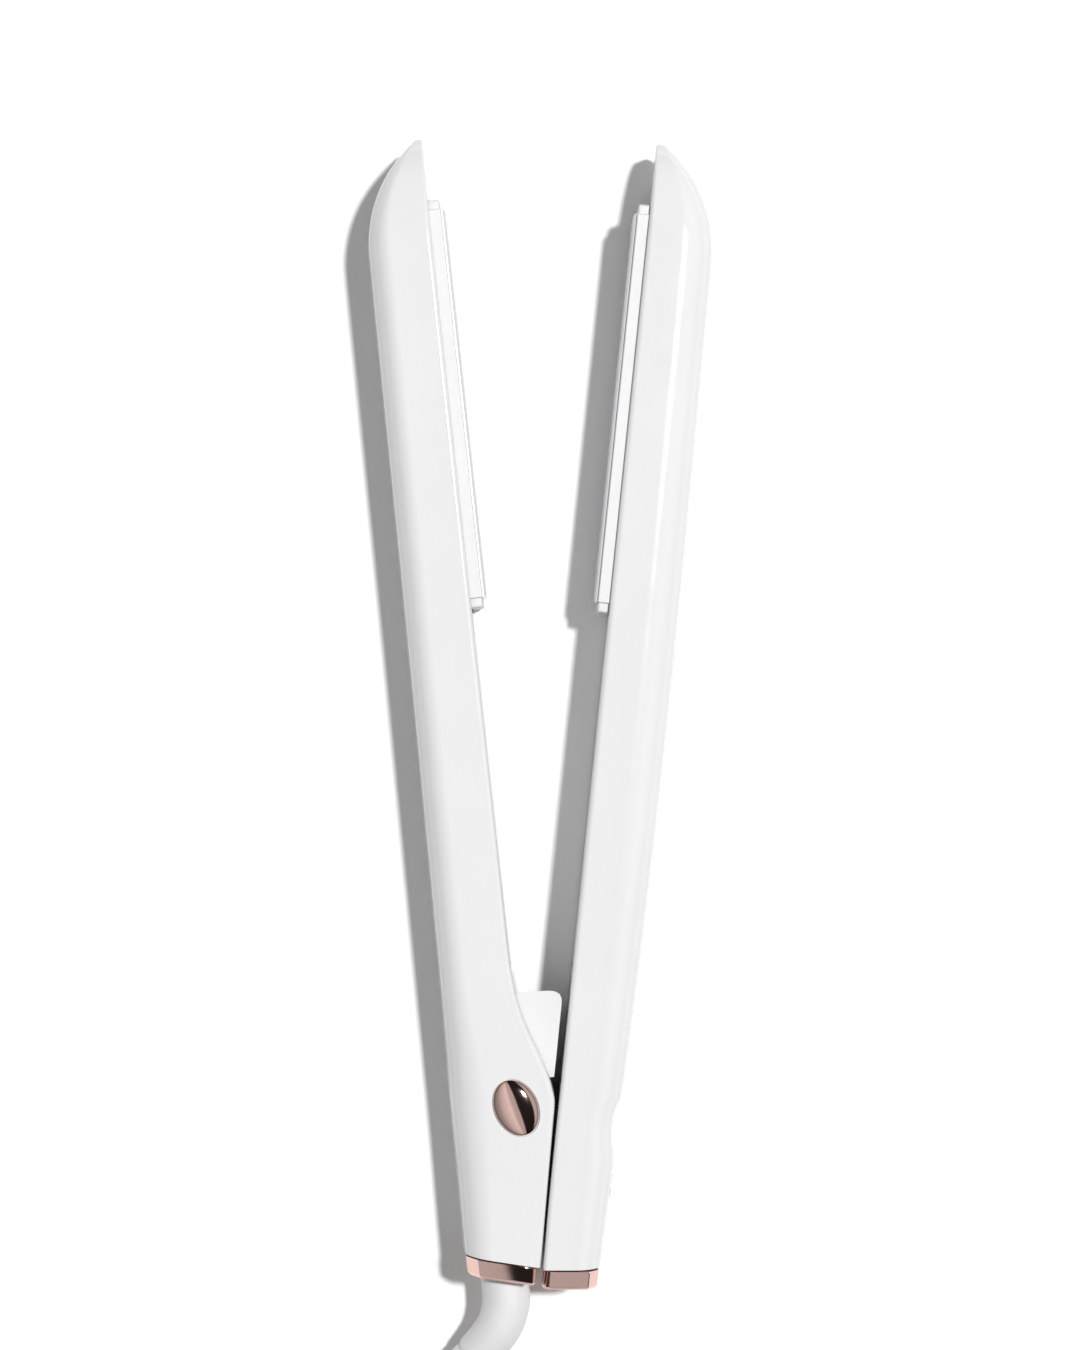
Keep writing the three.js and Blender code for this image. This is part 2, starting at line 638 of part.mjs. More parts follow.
const controls = Object.values(CONTROLS);
const rightWindows = [blockWindow(8, 13.2), block(8, 13.2, -11, 5.4, LUG_LOW - GAP, LUG_HIGH + GAP),
  ...controls.map(buttonHole), ...lightHoles()];
place(rightArm, 'right_shell', armShell(RIGHT, rightWindows), GLOSS_WHITE);
place(rightArm, 'right_inner_cover', innerCover(RIGHT), SATIN_WHITE);
place(rightArm, 'right_end_cap', endCap(RIGHT), ROSE_GOLD);
place(rightArm, 'hinge_lug', hingeLug(), NYLON);
place(rightArm, 'control_board', block(BOARD_X, BOARD_X + BOARD_THICK, -34, 42, 5, 27), BOARD);
place(rightArm, 'light_pipe', lightPipe(), CLEAR);
place(rightArm, 'right_harness', tube([
  at(21.5, 46, 9), at(20.5, 70, 8), at(19.5, 100, 7), at(19, 128, 7),
], 1.4, 6, 12), WIRE);
for (const [name, control] of Object.entries(CONTROLS)) {
  place(rightArm, `${name}_switch`, tactSwitch(control), SWITCH);
  place(rightArm, `${name}_button`, button(control), GLOSS_WHITE);
}

for (const [side, arm, group] of [['left', LEFT, leftArm], ['right', RIGHT, rightArm]]) {
  place(group, `${side}_carrier`, plateCarrier(arm), SATIN_WHITE);
  place(group, `${side}_plate`, hotPlate(arm), CERAMIC);
  place(group, `${side}_heater`, heater(arm), HEATER);
  place(group, `${side}_heater_clamp`, heaterClamp(arm), STEEL);
  place(group, `${side}_thermistor`, thermistor(arm), SWITCH);
  place(group, `${side}_screw_tail`, coverScrew(arm, SCREW_YS[0]), STEEL);
  place(group, `${side}_screw_tip`, coverScrew(arm, SCREW_YS[1]), STEEL);
  place(group, `${side}_float_spring_tail`, floatSpring(arm, SPRING_YS[0]), STEEL);
  place(group, `${side}_float_spring_tip`, floatSpring(arm, SPRING_YS[1]), STEEL);
}

place(leftArm, 'swivel_spindle', swivelSpindle(), NYLON);
place(iron, 'cord_boot', sleeve(BOOT, BOOT_RADIUS, 5.5, 12), CORD_WHITE);
place(iron, 'strain_relief', sleeve(RELIEF, 4.9, 3.7, 8), CORD_WHITE);
place(iron, 'power_cord', tube(LEAD, CORD_RADIUS, 10, 5), CORD_WHITE);
place(iron, 'cord_coil', coilRing(), CORD_WHITE);
place(iron, 'cord_tie', cordTie(), SWITCH);
place(iron, 'plug_lead', tube(PLUG_LEAD, CORD_RADIUS, 10, 3), CORD_WHITE);
place(iron, 'plug_body', plugBody(), CORD_WHITE);
place(iron, 'plug_blade_left', plugBlade(-6.35), BRASS);
place(iron, 'plug_blade_right', plugBlade(6.35), BRASS);

export default iron;
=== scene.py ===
"""Flat iron lying open on its side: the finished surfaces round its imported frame."""
import json
import math

import bmesh
import bpy
from mathutils import Matrix, Vector


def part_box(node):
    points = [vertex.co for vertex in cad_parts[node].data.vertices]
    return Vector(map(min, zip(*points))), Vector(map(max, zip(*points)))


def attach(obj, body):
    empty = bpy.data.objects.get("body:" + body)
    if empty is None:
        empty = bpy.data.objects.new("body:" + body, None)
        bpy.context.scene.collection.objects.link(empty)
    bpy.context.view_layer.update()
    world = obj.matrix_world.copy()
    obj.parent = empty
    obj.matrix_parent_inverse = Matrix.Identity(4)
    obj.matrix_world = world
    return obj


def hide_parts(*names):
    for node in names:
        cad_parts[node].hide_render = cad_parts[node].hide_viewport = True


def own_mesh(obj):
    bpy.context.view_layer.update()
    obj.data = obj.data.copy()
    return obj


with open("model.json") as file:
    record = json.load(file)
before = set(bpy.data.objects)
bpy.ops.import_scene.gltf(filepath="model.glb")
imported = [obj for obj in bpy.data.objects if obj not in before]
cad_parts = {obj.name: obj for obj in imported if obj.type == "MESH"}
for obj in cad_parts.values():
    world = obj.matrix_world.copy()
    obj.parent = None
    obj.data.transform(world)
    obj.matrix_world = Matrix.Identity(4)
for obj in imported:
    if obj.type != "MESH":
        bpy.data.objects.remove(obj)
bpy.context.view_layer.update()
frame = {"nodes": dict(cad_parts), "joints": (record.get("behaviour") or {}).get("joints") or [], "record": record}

bl_info = {
    "name": "Flat Iron",
    "version": (1, 0, 0),
    "blender": (4, 5, 0),
    "location": "3D View > Sidebar > Flat Iron",
    "description": "Builds a hinged hair straightener round its frame",
    "category": "Object",
}

MM = 0.001
ALONG_X = (0, math.pi / 2, 0)
JOINTS = {joint["name"]: joint for joint in frame["joints"]}


def turn_of(joint_name, sign):
    """How far an arm is turned out about the hinge, from the way its plate slides."""
    x, y, _ = JOINTS[joint_name]["axis"]
    return math.atan2(sign * y, sign * x)


LEFT_TURN = turn_of("left_plate_slide", -1)
RIGHT_TURN = turn_of("right_plate_slide", 1)
ARM_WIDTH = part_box("left_shell")[1].z
MID = ARM_WIDTH / 2
PLATE_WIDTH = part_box("left_plate")[1].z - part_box("left_plate")[0].z
CARRIER_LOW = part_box("left_carrier")[0].z
PLATE_LENGTH = 101.6 * MM
PLATE_START = 132.4 * MM
PLATE_FACE = 6.6 * MM
PLATE_THICK = 1.1 * MM
CARRIER_DEPTH = 6.8 * MM
NUB = 2.5 * MM
GAP = 0.3 * MM
CAP_DEPTH = 5.1 * MM

# Arm outlines in mm, drawn shut: how far along the arm, then how far from the hinge axis.
LEFT = {
    "side": -1,
    "turn": LEFT_TURN,
    "outer": [(-60, 17.6), (-37, 17.3), (0, 16.6), (56, 15.9), (129, 15.1), (184, 14.7),
              (223.5, 14.4)],
    "inner": [(-60, 1.7), (-46.2, -0.9), (-41.2, -2), (-22, -5.8), (-4, -9.35), (-1, -9.95),
              (1, -10.2), (2.8, -10.05), (6.6, -9.5), (12, -7.9), (17.4, -6.1), (22.9, -4.4),
              (28, -3.35),
              (33, -2.75), (38, -2.45), (44, -2.4), (260, -2.4)],
    "tail_at_axis": -41.5,
    "tail_slope": -0.26,
}
RIGHT = {
    "side": 1,
    "turn": RIGHT_TURN,
    "outer": [(-60, 25.4), (-37.5, 25.9), (-14, 26.6), (-10.5, 26.6), (-8, 25.9), (-3, 25.4),
              (1.5, 25.9), (4.5, 26.9), (8, 27.15), (41, 28.1), (80, 28.8), (129, 29.0),
              (184, 28.6), (223.5, 28.2)],
    "inner": [(-60, 11.3), (-41, 11.2), (-22, 10.9), (0, 10.9), (260, 10.9)],
    "tail_at_axis": -42.3,
    "tail_slope": 0.1,
}
TIP_START = 223.5
TIP_ARC = 37.0
TIP_LENGTH = 29.55
TAPER_START = 229.0
TAPER_LENGTH = 24.5
TAPER = 13.0
BODY_STATIONS = [-46, -38, -30, -22, -16, -12, -10, -8, -6, -4, -2, -0.5, 1, 2.5, 4, 5.5, 7, 9.5,
                 12, 14.5, 17, 20, 23, 26, 29, 33, 38, 46, 58, 75, 95, 115, 129, 145, 165, 184,
                 200, 213, 223.5]
TIP_RISES = [2.5, 5, 7.5, 10, 12, 14, 16, 18, 20, 21.7, 23.3, 24.8, 26.2, 27.3, 28.2, 28.9,
             TIP_LENGTH]

# Routes in metres: the cord's two free stretches, as their solids have them, then boot and relief.
LEAD = [(-0.0312, -0.0976, 0.0041), (-0.0336, -0.106, 0.0035), (-0.0354, -0.114, 0.0032),
        (-0.0367, -0.122, 0.0032), (-0.0374, -0.131, 0.0032), (-0.0375, -0.142, 0.0032)]
PLUG_LEAD = [(0.062, -0.1465, 0.007), (0.0642, -0.138, 0.0077), (0.065, -0.1311, 0.008)]
BOOT = [(-0.00344, -0.04272, 0.016), (-0.0028, -0.0488, 0.016), (-0.0028, -0.0536, 0.0159),
        (-0.0043, -0.0588, 0.0154), (-0.0075, -0.0636, 0.014), (-0.011, -0.0674, 0.0124)]
RELIEF = [(-0.0112, -0.0676, 0.0123), (-0.020, -0.077, 0.009), (-0.027, -0.0865, 0.006),
          (-0.031, -0.097, 0.0042)]
# Slots of the coil as (column, layer), in the order that the cord fills them.
COIL_SLOTS = [(0, 0), (1, 0), (2, 0), (3, 0), (3, 1), (3, 2), (2, 2), (2, 1), (1, 1), (1, 2),
              (0, 2), (0, 1)]
COIL_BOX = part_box("cord_coil")
COIL_CENTRE = ((COIL_BOX[0].x + COIL_BOX[1].x) / 2, (COIL_BOX[0].y + COIL_BOX[1].y) / 2, 0.0)
# How far a turn keeps its slot and then takes to reach the next one, and how the strap squeezes it.
COIL_STAY, COIL_MOVE = math.radians(195), math.radians(130)
COIL_RUN_IN = math.radians(80)
STRAP_SQUEEZE, STRAP_SPREAD = 0.12, 65

# Buttons on the right arm: place along it, height, radius, and outer end from the hinge axis.
BUTTONS = {
    "power_button": (-3 * MM, MID, 4.2 * MM, 25.9 * MM),
    "heat_up_button": (-19 * MM, MID + 4.8 * MM, 2.8 * MM, 26.8 * MM),
    "heat_down_button": (-19 * MM, MID - 4.8 * MM, 2.8 * MM, 26.8 * MM),
}
BUTTON_STEM = 4 * MM
LIGHT_Y = -28 * MM
LIGHT_HEIGHTS = [MID + step * 3 * MM for step in (-2, -1, 0, 1, 2)]


# ---------------------------------------------------------------- properties
class FlatIronSizes(bpy.types.PropertyGroup):
    wall: bpy.props.FloatProperty(
        name="Wall", description="Thickness of the casings", default=0.0018, unit="LENGTH")
    outer_radius: bpy.props.FloatProperty(
        name="Outer corner", description="Radius of a casing's two outer corners", default=0.007,
        unit="LENGTH")
    inner_radius: bpy.props.FloatProperty(
        name="Inner corner", description="Radius of a casing's two inner corners", default=0.0012,
        unit="LENGTH")
    crown: bpy.props.FloatProperty(
        name="Crown", description="How far the outer face bulges at its middle", default=0.0007,
        unit="LENGTH")
    edge: bpy.props.FloatProperty(
        name="Edge softness", description="Width of the small bevel on moulded edges",
        default=0.00022, unit="LENGTH")
    cord_radius: bpy.props.FloatProperty(
        name="Cord radius", description="Half the cord's diameter", default=0.00315, unit="LENGTH")
    coil_radius: bpy.props.FloatProperty(
        name="Coil radius", description="From the coil's centre to the middle of its turns",
        default=0.0342, unit="LENGTH")
    badge_long: bpy.props.FloatProperty(
        name="Badge half length", description="Half of the badge's long axis", default=0.0075,
        unit="LENGTH")
    badge_short: bpy.props.FloatProperty(
        name="Badge half width", description="Half of the badge's short axis", default=0.0055,
        unit="LENGTH")
    badge_lean: bpy.props.FloatProperty(
        name="Badge lean", description="Turn of the badge's long axis from the arm",
        default=math.radians(19), unit="ROTATION")


class FlatIronColours(bpy.types.PropertyGroup):
    shell: bpy.props.FloatVectorProperty(
        name="Casing", description="Gloss white of the casings", subtype="COLOR",
        default=(0.79, 0.79, 0.793))
    satin: bpy.props.FloatVectorProperty(
        name="Satin parts", description="Satin white of carriers, covers and block",
        subtype="COLOR", default=(0.73, 0.73, 0.735))
    rose_gold: bpy.props.FloatVectorProperty(
        name="Rose gold", description="Plating of the end caps and the badge", subtype="COLOR",
        default=(0.86, 0.60, 0.535))
    ceramic: bpy.props.FloatVectorProperty(
        name="Plate coating", description="Pearl ceramic of the heated plates", subtype="COLOR",
        default=(0.7, 0.7, 0.71))
    cord: bpy.props.FloatVectorProperty(
        name="Cord", description="Satin PVC of the cord, boot and plug", subtype="COLOR",
        default=(0.78, 0.78, 0.785))


class FlatIronStage(bpy.types.PropertyGroup):
    floor_size: bpy.props.FloatProperty(
        name="Floor", description="Side of the square floor", default=40.0, unit="LENGTH")
    key_power: bpy.props.FloatProperty(
        name="Key light", description="Power of the key light in watts", default=78.0)
    sky: bpy.props.FloatProperty(
        name="Sky", description="Strength of the soft light from all round", default=0.7)
    camera_height: bpy.props.FloatProperty(
        name="Camera height", description="Height of the camera above the floor", default=1.003,
        unit="LENGTH")


# ---------------------------------------------------------------- outlines
def curve_at(table, along):
    """A smooth line through the table's points, read at one place."""
    if along <= table[0][0]:
        return table[0][1]
    if along >= table[-1][0]:
        return table[-1][1]
    k = next(i for i in range(1, len(table)) if table[i][0] > along)

    def slope(i):
        low, high = max(i - 1, 0), min(i + 1, len(table) - 1)
        return (table[high][1] - table[low][1]) / (table[high][0] - table[low][0])

    (y0, u0), (y1, u1) = table[k - 1], table[k]
    span = y1 - y0
    t = (along - y0) / span
    start, end = slope(k - 1) * span, slope(k) * span
    return ((2 * t ** 3 - 3 * t ** 2 + 1) * u0 + (t ** 3 - 2 * t ** 2 + t) * start
            + (3 * t ** 2 - 2 * t ** 3) * u1 + (t ** 3 - t ** 2) * end)


def outer_at(arm, along):
    if along <= TIP_START:
        return curve_at(arm["outer"], along)
    rise = along - TIP_START
    arc_end = TIP_ARC * math.sqrt(0.5)
    start = arm["outer"][-1][1] - TIP_ARC
    if rise <= arc_end:
        return start + math.sqrt(TIP_ARC ** 2 - rise ** 2)
    return start + arc_end - (rise - arc_end)


def half_width_at(along):
    t = min(max((along - TAPER_START) / TAPER_LENGTH, 0.0), 0.98)
    return MID / MM - TAPER * (1 - math.sqrt(1 - t * t))


def through(points, spacing):
    """Evenly read points of a smooth curve through given ones."""
    nodes = [Vector(p) for p in points]
    ends = [2 * nodes[0] - nodes[1]] + nodes + [2 * nodes[-1] - nodes[-2]]
    route = []
    for i in range(1, len(ends) - 2):
        before, a, b, after = ends[i - 1:i + 3]
        steps = max(2, round((b - a).length / spacing))
        for s in range(steps):
            t = s / steps
            route.append(0.5 * (2 * a + (b - before) * t
                                + (2 * before - 5 * a + 4 * b - after) * t * t
                                + (3 * a - before - 3 * b + after) * t ** 3))
    return route + [nodes[-1]]


# ---------------------------------------------------------------- modelling by hand
def clear_selection():
    if bpy.context.object and bpy.context.object.mode != "OBJECT":
        bpy.ops.object.mode_set(mode="OBJECT")
    bpy.ops.object.select_all(action="DESELECT")


def activate(piece):
    clear_selection()
    piece.select_set(True)
    bpy.context.view_layer.objects.active = piece


def edit(piece):
    activate(piece)
    bpy.ops.object.mode_set(mode="EDIT")


def pick(piece, wanted, kind="VERT"):
    """In edit mode: select the vertices, edges or faces that the test wants."""
    bpy.ops.mesh.select_mode(type=kind)
    bpy.ops.mesh.select_all(action="DESELECT")
    mesh = bmesh.from_edit_mesh(piece.data)
    parts = {"VERT": mesh.verts, "EDGE": mesh.edges, "FACE": mesh.faces}[kind]
    for part in parts:
        if wanted(part):
            part.select = True
    mesh.select_flush_mode()
    bmesh.update_edit_mesh(piece.data)


def grow(step):
    bpy.ops.mesh.extrude_region_move(TRANSFORM_OT_translate={"value": step})


def stretch(factors, centre):
    bpy.ops.transform.resize(value=factors, center_override=centre)


def shift(step):
    bpy.ops.transform.translate(value=step)


def start_piece(name):
    piece = bpy.context.object
    piece.name = name
    piece.data.name = name
    return piece


def add_box(name, corner, opposite):
    """A box between two opposite corners, given in any order."""
    clear_selection()
    low, high = (Vector(map(end, corner, opposite)) for end in (min, max))
    size = high - low
    bpy.ops.mesh.primitive_cube_add(size=1, location=(low + high) / 2)
    piece = start_piece(name)
    piece.scale = size
    bpy.ops.object.transform_apply(location=True, rotation=True, scale=True)
    return piece


def add_rod(name, radius, depth, location, rotation=(0, 0, 0), sides=48):
    clear_selection()
    bpy.ops.mesh.primitive_cylinder_add(
        vertices=sides, radius=radius, depth=depth, location=location, rotation=rotation)
    piece = start_piece(name)
    bpy.ops.object.transform_apply(location=True, rotation=True, scale=True)
    return piece


def add_outline(name, outline, low, high):
    """A flat outline in the arm's plane, raised from low to high."""
    clear_selection()
    bpy.ops.mesh.primitive_circle_add(vertices=len(outline), fill_type="NGON", location=(0, 0, 0))
    piece = start_piece(name)
    for vertex, (x, y) in zip(piece.data.vertices, outline):
        vertex.co = (x, y, low)
    edit(piece)
    bpy.ops.mesh.select_all(action="SELECT")
    grow((0, 0, high - low))
    close_up()
    return piece


def close_up():
    """Leave edit mode with doubles merged and every face pointing out."""
    bpy.ops.mesh.select_mode(type="VERT")
    bpy.ops.mesh.select_all(action="SELECT")
    bpy.ops.mesh.remove_doubles(threshold=1e-7)
    bpy.ops.mesh.normals_make_consistent(inside=False)
    bpy.ops.object.mode_set(mode="OBJECT")


def apply(piece, modifier):
    activate(piece)
    bpy.ops.object.modifier_apply(modifier=modifier.name)


def boolean(piece, cutters, operation="DIFFERENCE"):
    for cutter in cutters:
        modifier = piece.modifiers.new("Cut", "BOOLEAN")
        modifier.operation = operation
        modifier.object = cutter
        modifier.solver = "EXACT"
        apply(piece, modifier)
        bpy.data.objects.remove(cutter)
    return piece


def soften(piece, width, segments=2, angle=32):
    modifier = piece.modifiers.new("Soft edges", "BEVEL")
    modifier.width = width
    modifier.segments = segments
    modifier.limit_method = "ANGLE"
    modifier.angle_limit = math.radians(angle)
    modifier.miter_outer = "MITER_ARC"
    apply(piece, modifier)
    return piece


def slice_off(piece, point, normal, outer=True):
    """Cut the piece by a plane and close the cut."""
    edit(piece)
    bpy.ops.mesh.select_all(action="SELECT")
    bpy.ops.mesh.bisect(plane_co=point, plane_no=normal, use_fill=True, clear_outer=outer,
                        clear_inner=not outer)
    close_up()
    return piece


def finish_piece(piece, body, slot, nodes=(), turn=0.0, smooth=35):
    """Turn the piece with its arm, smooth it, paint it and tie it to its body."""
    piece.data.transform(Matrix.Rotation(turn, 4, "Z"))
    activate(piece)
    if piece.type == "MESH":
        bpy.ops.object.shade_smooth_by_angle(angle=math.radians(smooth))
        modifier = piece.modifiers.new("Flat faces stay flat", "WEIGHTED_NORMAL")
        modifier.keep_sharp = True
        apply(piece, modifier)
    piece.data.materials.clear()
    piece.data.materials.append(finish_for(slot))
    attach(piece, body)
    if nodes:
        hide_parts(*nodes)
    return piece


def swept(name, route, radii, sides=32):
    """A round piece that follows a route, with its own radius at every point."""
    curve = bpy.data.curves.new(name, "CURVE")
    curve.dimensions = "3D"
    curve.bevel_depth = 1.0
    curve.bevel_resolution = (sides - 4) // 4
    curve.use_fill_caps = True
    curve.twist_mode = "MINIMUM"
    spline = curve.splines.new("POLY")
    spline.points.add(len(route) - 1)
    for point, place, radius in zip(spline.points, route, radii):
        point.co = (*place, 1.0)
        point.radius = radius
    piece = bpy.data.objects.new(name, curve)
    bpy.context.scene.collection.objects.link(piece)
    activate(piece)
    bpy.ops.object.convert(target="MESH")
    piece = bpy.context.object
    piece.data.name = name
    bpy.ops.object.mode_set(mode="EDIT")
    close_up()
    return piece


# ---------------------------------------------------------------- materials
class Finish:
    """One procedural material, built up from its shader outwards."""

    made = {}

    def __init__(self, name, colour, roughness, metallic=0.0):
        self.material = bpy.data.materials.new(name)
        self.material.use_nodes = True
        self.nodes = self.material.node_tree.nodes
        self.links = self.material.node_tree.links
        self.shader = self.nodes["Principled BSDF"]
        self.colour = (*colour, 1.0)
        self.set("Base Color", self.colour)
        self.set("Roughness", roughness)
        self.set("Metallic", metallic)
        self.place = self.nodes.new("ShaderNodeTexCoord")
        self.height = None

    def set(self, socket, value):
        self.shader.inputs[socket].default_value = value
        return self

    def noise(self, scale, detail=3.0, stretch_by=(1, 1, 1)):
        mapping = self.nodes.new("ShaderNodeMapping")
        mapping.inputs["Scale"].default_value = stretch_by
        self.links.new(self.place.outputs["Object"], mapping.inputs["Vector"])
        texture = self.nodes.new("ShaderNodeTexNoise")
        texture.inputs["Scale"].default_value = scale
        texture.inputs["Detail"].default_value = detail
        self.links.new(mapping.outputs["Vector"], texture.inputs["Vector"])
        return texture.outputs["Fac"]

    def mottle(self, factor, darker, low=0.35, high=0.65):
        """Colour that drifts from a darker shade to the full one."""
        ramp = self.nodes.new("ShaderNodeValToRGB")
        ramp.color_ramp.elements[0].position = low
        ramp.color_ramp.elements[0].color = (*[c * darker for c in self.colour[:3]], 1.0)
        ramp.color_ramp.elements[1].position = high
        ramp.color_ramp.elements[1].color = self.colour
        self.links.new(factor, ramp.inputs["Fac"])
        self.links.new(ramp.outputs["Color"], self.shader.inputs["Base Color"])
        return self

    def wear(self, factor, low, high):
        """Roughness that drifts between two values."""
        drift = self.nodes.new("ShaderNodeMapRange")
        drift.inputs["From Min"].default_value = 0.3
        drift.inputs["From Max"].default_value = 0.7
        drift.inputs["To Min"].default_value = low
        drift.inputs["To Max"].default_value = high
        self.links.new(factor, drift.inputs["Value"])
        self.links.new(drift.outputs["Result"], self.shader.inputs["Roughness"])
        return self

    def grain(self, factor, strength, depth):
        """Fine relief of the surface, over any relief already there."""
        bump = self.nodes.new("ShaderNodeBump")
        bump.inputs["Strength"].default_value = strength
        bump.inputs["Distance"].default_value = depth
        self.links.new(factor, bump.inputs["Height"])
        if self.height:
            self.links.new(self.height, bump.inputs["Normal"])
        self.height = bump.outputs["Normal"]
        self.links.new(self.height, self.shader.inputs["Normal"])
        return self


# One look for each material slot. A colour is a value or the name of a colour setting. Mottle,
# wear and grain each start with their noise: its scale, its detail and, for a brushed look, its stretch.
FINISHES = {
    "gloss_shell": dict(
        name="gloss_white_casing", colour="shell", roughness=0.12,
        shader={"Coat Weight": 0.2, "Coat Roughness": 0.05, "IOR": 1.5},
        mottle=((45, 2.0), 0.985), wear=((120, 2.0), 0.1, 0.14), grain=((900, 2.0), 0.05, 0.00004)),
    "satin_white": dict(
        name="satin_white_moulding", colour="satin", roughness=0.42,
        mottle=((70, 2.0), 0.975), wear=((500, 2.0), 0.36, 0.48),
        grain=((5200, 3.0), 0.22, 0.00004)),
    "rose_gold": dict(
        name="rose_gold_plating", colour="rose_gold", roughness=0.045, metallic=1.0,
        mottle=((120, 2.0), 0.97), wear=((900, 3.0, (1, 12, 1)), 0.03, 0.06),
        grain=((1600, 2.0, (1, 14, 1)), 0.03, 0.00002)),
    "ceramic_plate": dict(
        name="pearl_ceramic_coating", colour="ceramic", roughness=0.22,
        shader={"Coat Weight": 0.3, "Coat Roughness": 0.08},
        mottle=((3200, 4.0), 0.93, 0.3, 0.62), wear=((120, 3.0, (1, 0.2, 1)), 0.17, 0.3),
        grain=((2600, 3.0), 0.06, 0.00003)),
    "cord_white": dict(
        name="soft_white_pvc", colour="cord", roughness=0.45,
        shader={"Sheen Weight": 0.12, "Sheen Roughness": 0.4},
        mottle=((60, 3.0), 0.965), wear=((420, 3.0), 0.38, 0.54),
        grain=((3600, 3.0), 0.18, 0.00005)),
    "tie": dict(
        name="silicone_strap", colour=(0.62, 0.62, 0.635), roughness=0.55,
        mottle=((240, 3.0), 0.94), grain=((4200, 2.0), 0.3, 0.00006)),
    "steel": dict(
        name="drawn_steel", colour=(0.56, 0.57, 0.59), roughness=0.28, metallic=1.0,
        mottle=((700, 3.0), 0.86), wear=((1500, 3.0), 0.2, 0.38)),
    "brass": dict(
        name="nickelled_brass", colour=(0.72, 0.63, 0.45), roughness=0.26, metallic=1.0,
        mottle=((600, 3.0), 0.88), wear=((1300, 3.0, (1, 6, 1)), 0.18, 0.34)),
    "nylon": dict(
        name="glass_filled_nylon", colour=(0.3, 0.31, 0.33), roughness=0.5,
        mottle=((1500, 4.0), 0.82), grain=((3000, 4.0, (1, 5, 1)), 0.25, 0.00005)),
    "circuit_board": dict(
        name="green_solder_mask", colour=(0.03, 0.16, 0.07), roughness=0.35,
        shader={"Coat Weight": 0.4},
        mottle=((420, 0.0, (1, 1, 3)), 0.55, 0.47, 0.5),
        grain=((420, 0.0, (1, 1, 3)), 0.4, 0.00004)),
    "black_part": dict(
        name="black_moulding", colour=(0.02, 0.02, 0.022), roughness=0.4,
        mottle=((900, 3.0), 0.7), grain=((4000, 3.0), 0.25, 0.00004)),
    "heater": dict(
        name="fired_alumina", colour=(0.66, 0.58, 0.45), roughness=0.6,
        mottle=((300, 4.0, (1, 0.3, 1)), 0.8), grain=((2500, 4.0), 0.3, 0.00005)),
    "light_window": dict(
        name="frosted_window", colour=(0.9, 0.92, 0.94), roughness=0.3,
        shader={"Transmission Weight": 0.35, "IOR": 1.49},
        wear=((1500, 3.0), 0.22, 0.42), grain=((3500, 2.0), 0.15, 0.00003)),
    "wire": dict(
        name="silicone_wire_jacket", colour=(0.4, 0.05, 0.04), roughness=0.5,
        mottle=((240, 3.0, (4, 0.4, 4)), 0.75), grain=((2500, 3.0), 0.2, 0.00004)),
}


def finish_for(slot):
    """The slot's material, made the first time that it is asked for."""
    if slot not in Finish.made:
        look = FINISHES[slot]
        colour = look["colour"]
        if isinstance(colour, str):
            colour = getattr(bpy.context.scene.flat_iron_colours, colour)
        finish = Finish(look["name"], colour, look["roughness"], look.get("metallic", 0.0))
        for socket, value in look.get("shader", {}).items():
            finish.set(socket, value)
        for layer in ("mottle", "wear", "grain"):
            if layer in look:
                noise, *values = look[layer]
                getattr(finish, layer)(finish.noise(*noise), *values)
        Finish.made[slot] = finish.material
    return Finish.made[slot]


# ---------------------------------------------------------------- arm casings
def arm_blank(name, arm, inset, stations, rises):
    """A closed arm shape, drawn out from one corner-rounded section along its stations."""
    sizes = bpy.context.scene.flat_iron_sizes
    side = arm["side"]

    def edges(along):
        inner = side * (curve_at(arm["inner"], along) * MM + inset)
        outer = side * (outer_at(arm, along) * MM - inset)
        return inner, outer, half_width_at(along) * MM - inset

    first = stations[0]
    inner, outer, half = edges(first)
    clear_selection()
    bpy.ops.mesh.primitive_plane_add(size=1, location=((inner + outer) / 2, first * MM, MID),
                                     rotation=(math.pi / 2, 0, 0))
    blank = start_piece(name)
    blank.scale = (abs(outer - inner), 2 * half, 1)
    bpy.ops.object.transform_apply(location=True, rotation=True, scale=True)
    bpy.ops.object.mode_set(mode="EDIT")
    pick(blank, lambda v: abs(v.co.x - outer) < 1e-6)
    bpy.ops.mesh.bevel(offset=sizes.outer_radius - inset, segments=9, affect="VERTICES")
    pick(blank, lambda v: abs(v.co.x - inner) < 1e-6)
    bpy.ops.mesh.bevel(offset=sizes.inner_radius, segments=3, affect="VERTICES")
    pick(blank, lambda e: all(abs(v.co.x - outer) < 1e-6 for v in e.verts), "EDGE")
    bpy.ops.mesh.subdivide(number_cuts=7)
    mesh = bmesh.from_edit_mesh(blank.data)
    flat_half = half - sizes.outer_radius + inset
    for vertex in mesh.verts:
        if abs(vertex.co.x - outer) < 1e-6:
            reach = (vertex.co.z - MID) / flat_half
            vertex.co.x += side * sizes.crown * (1 - reach * reach)
    bmesh.update_edit_mesh(blank.data)
    bpy.ops.mesh.select_mode(type="FACE")
    bpy.ops.mesh.select_all(action="SELECT")
    at = first
    for along in [*stations[1:], *(TIP_START + rise for rise in rises)]:
        next_inner, next_outer, next_half = edges(along)
        grow((0, (along - at) * MM, 0))
        stretch(((next_outer - next_inner) / (outer - inner), 1, next_half / half),
                (inner, along * MM, MID))
        shift((next_inner - inner, 0, 0))
        inner, outer, half, at = next_inner, next_outer, next_half, along
    if inset == 0:
        for step, shrink in ((0.3, 0.8), (0.2, 0.55)):
            grow((0, step * MM, 0))
            at += step
            stretch((shrink, 1, 1 - 0.15 * step), ((inner * 2 + outer) / 3, at * MM, MID))
    close_up()
    return blank


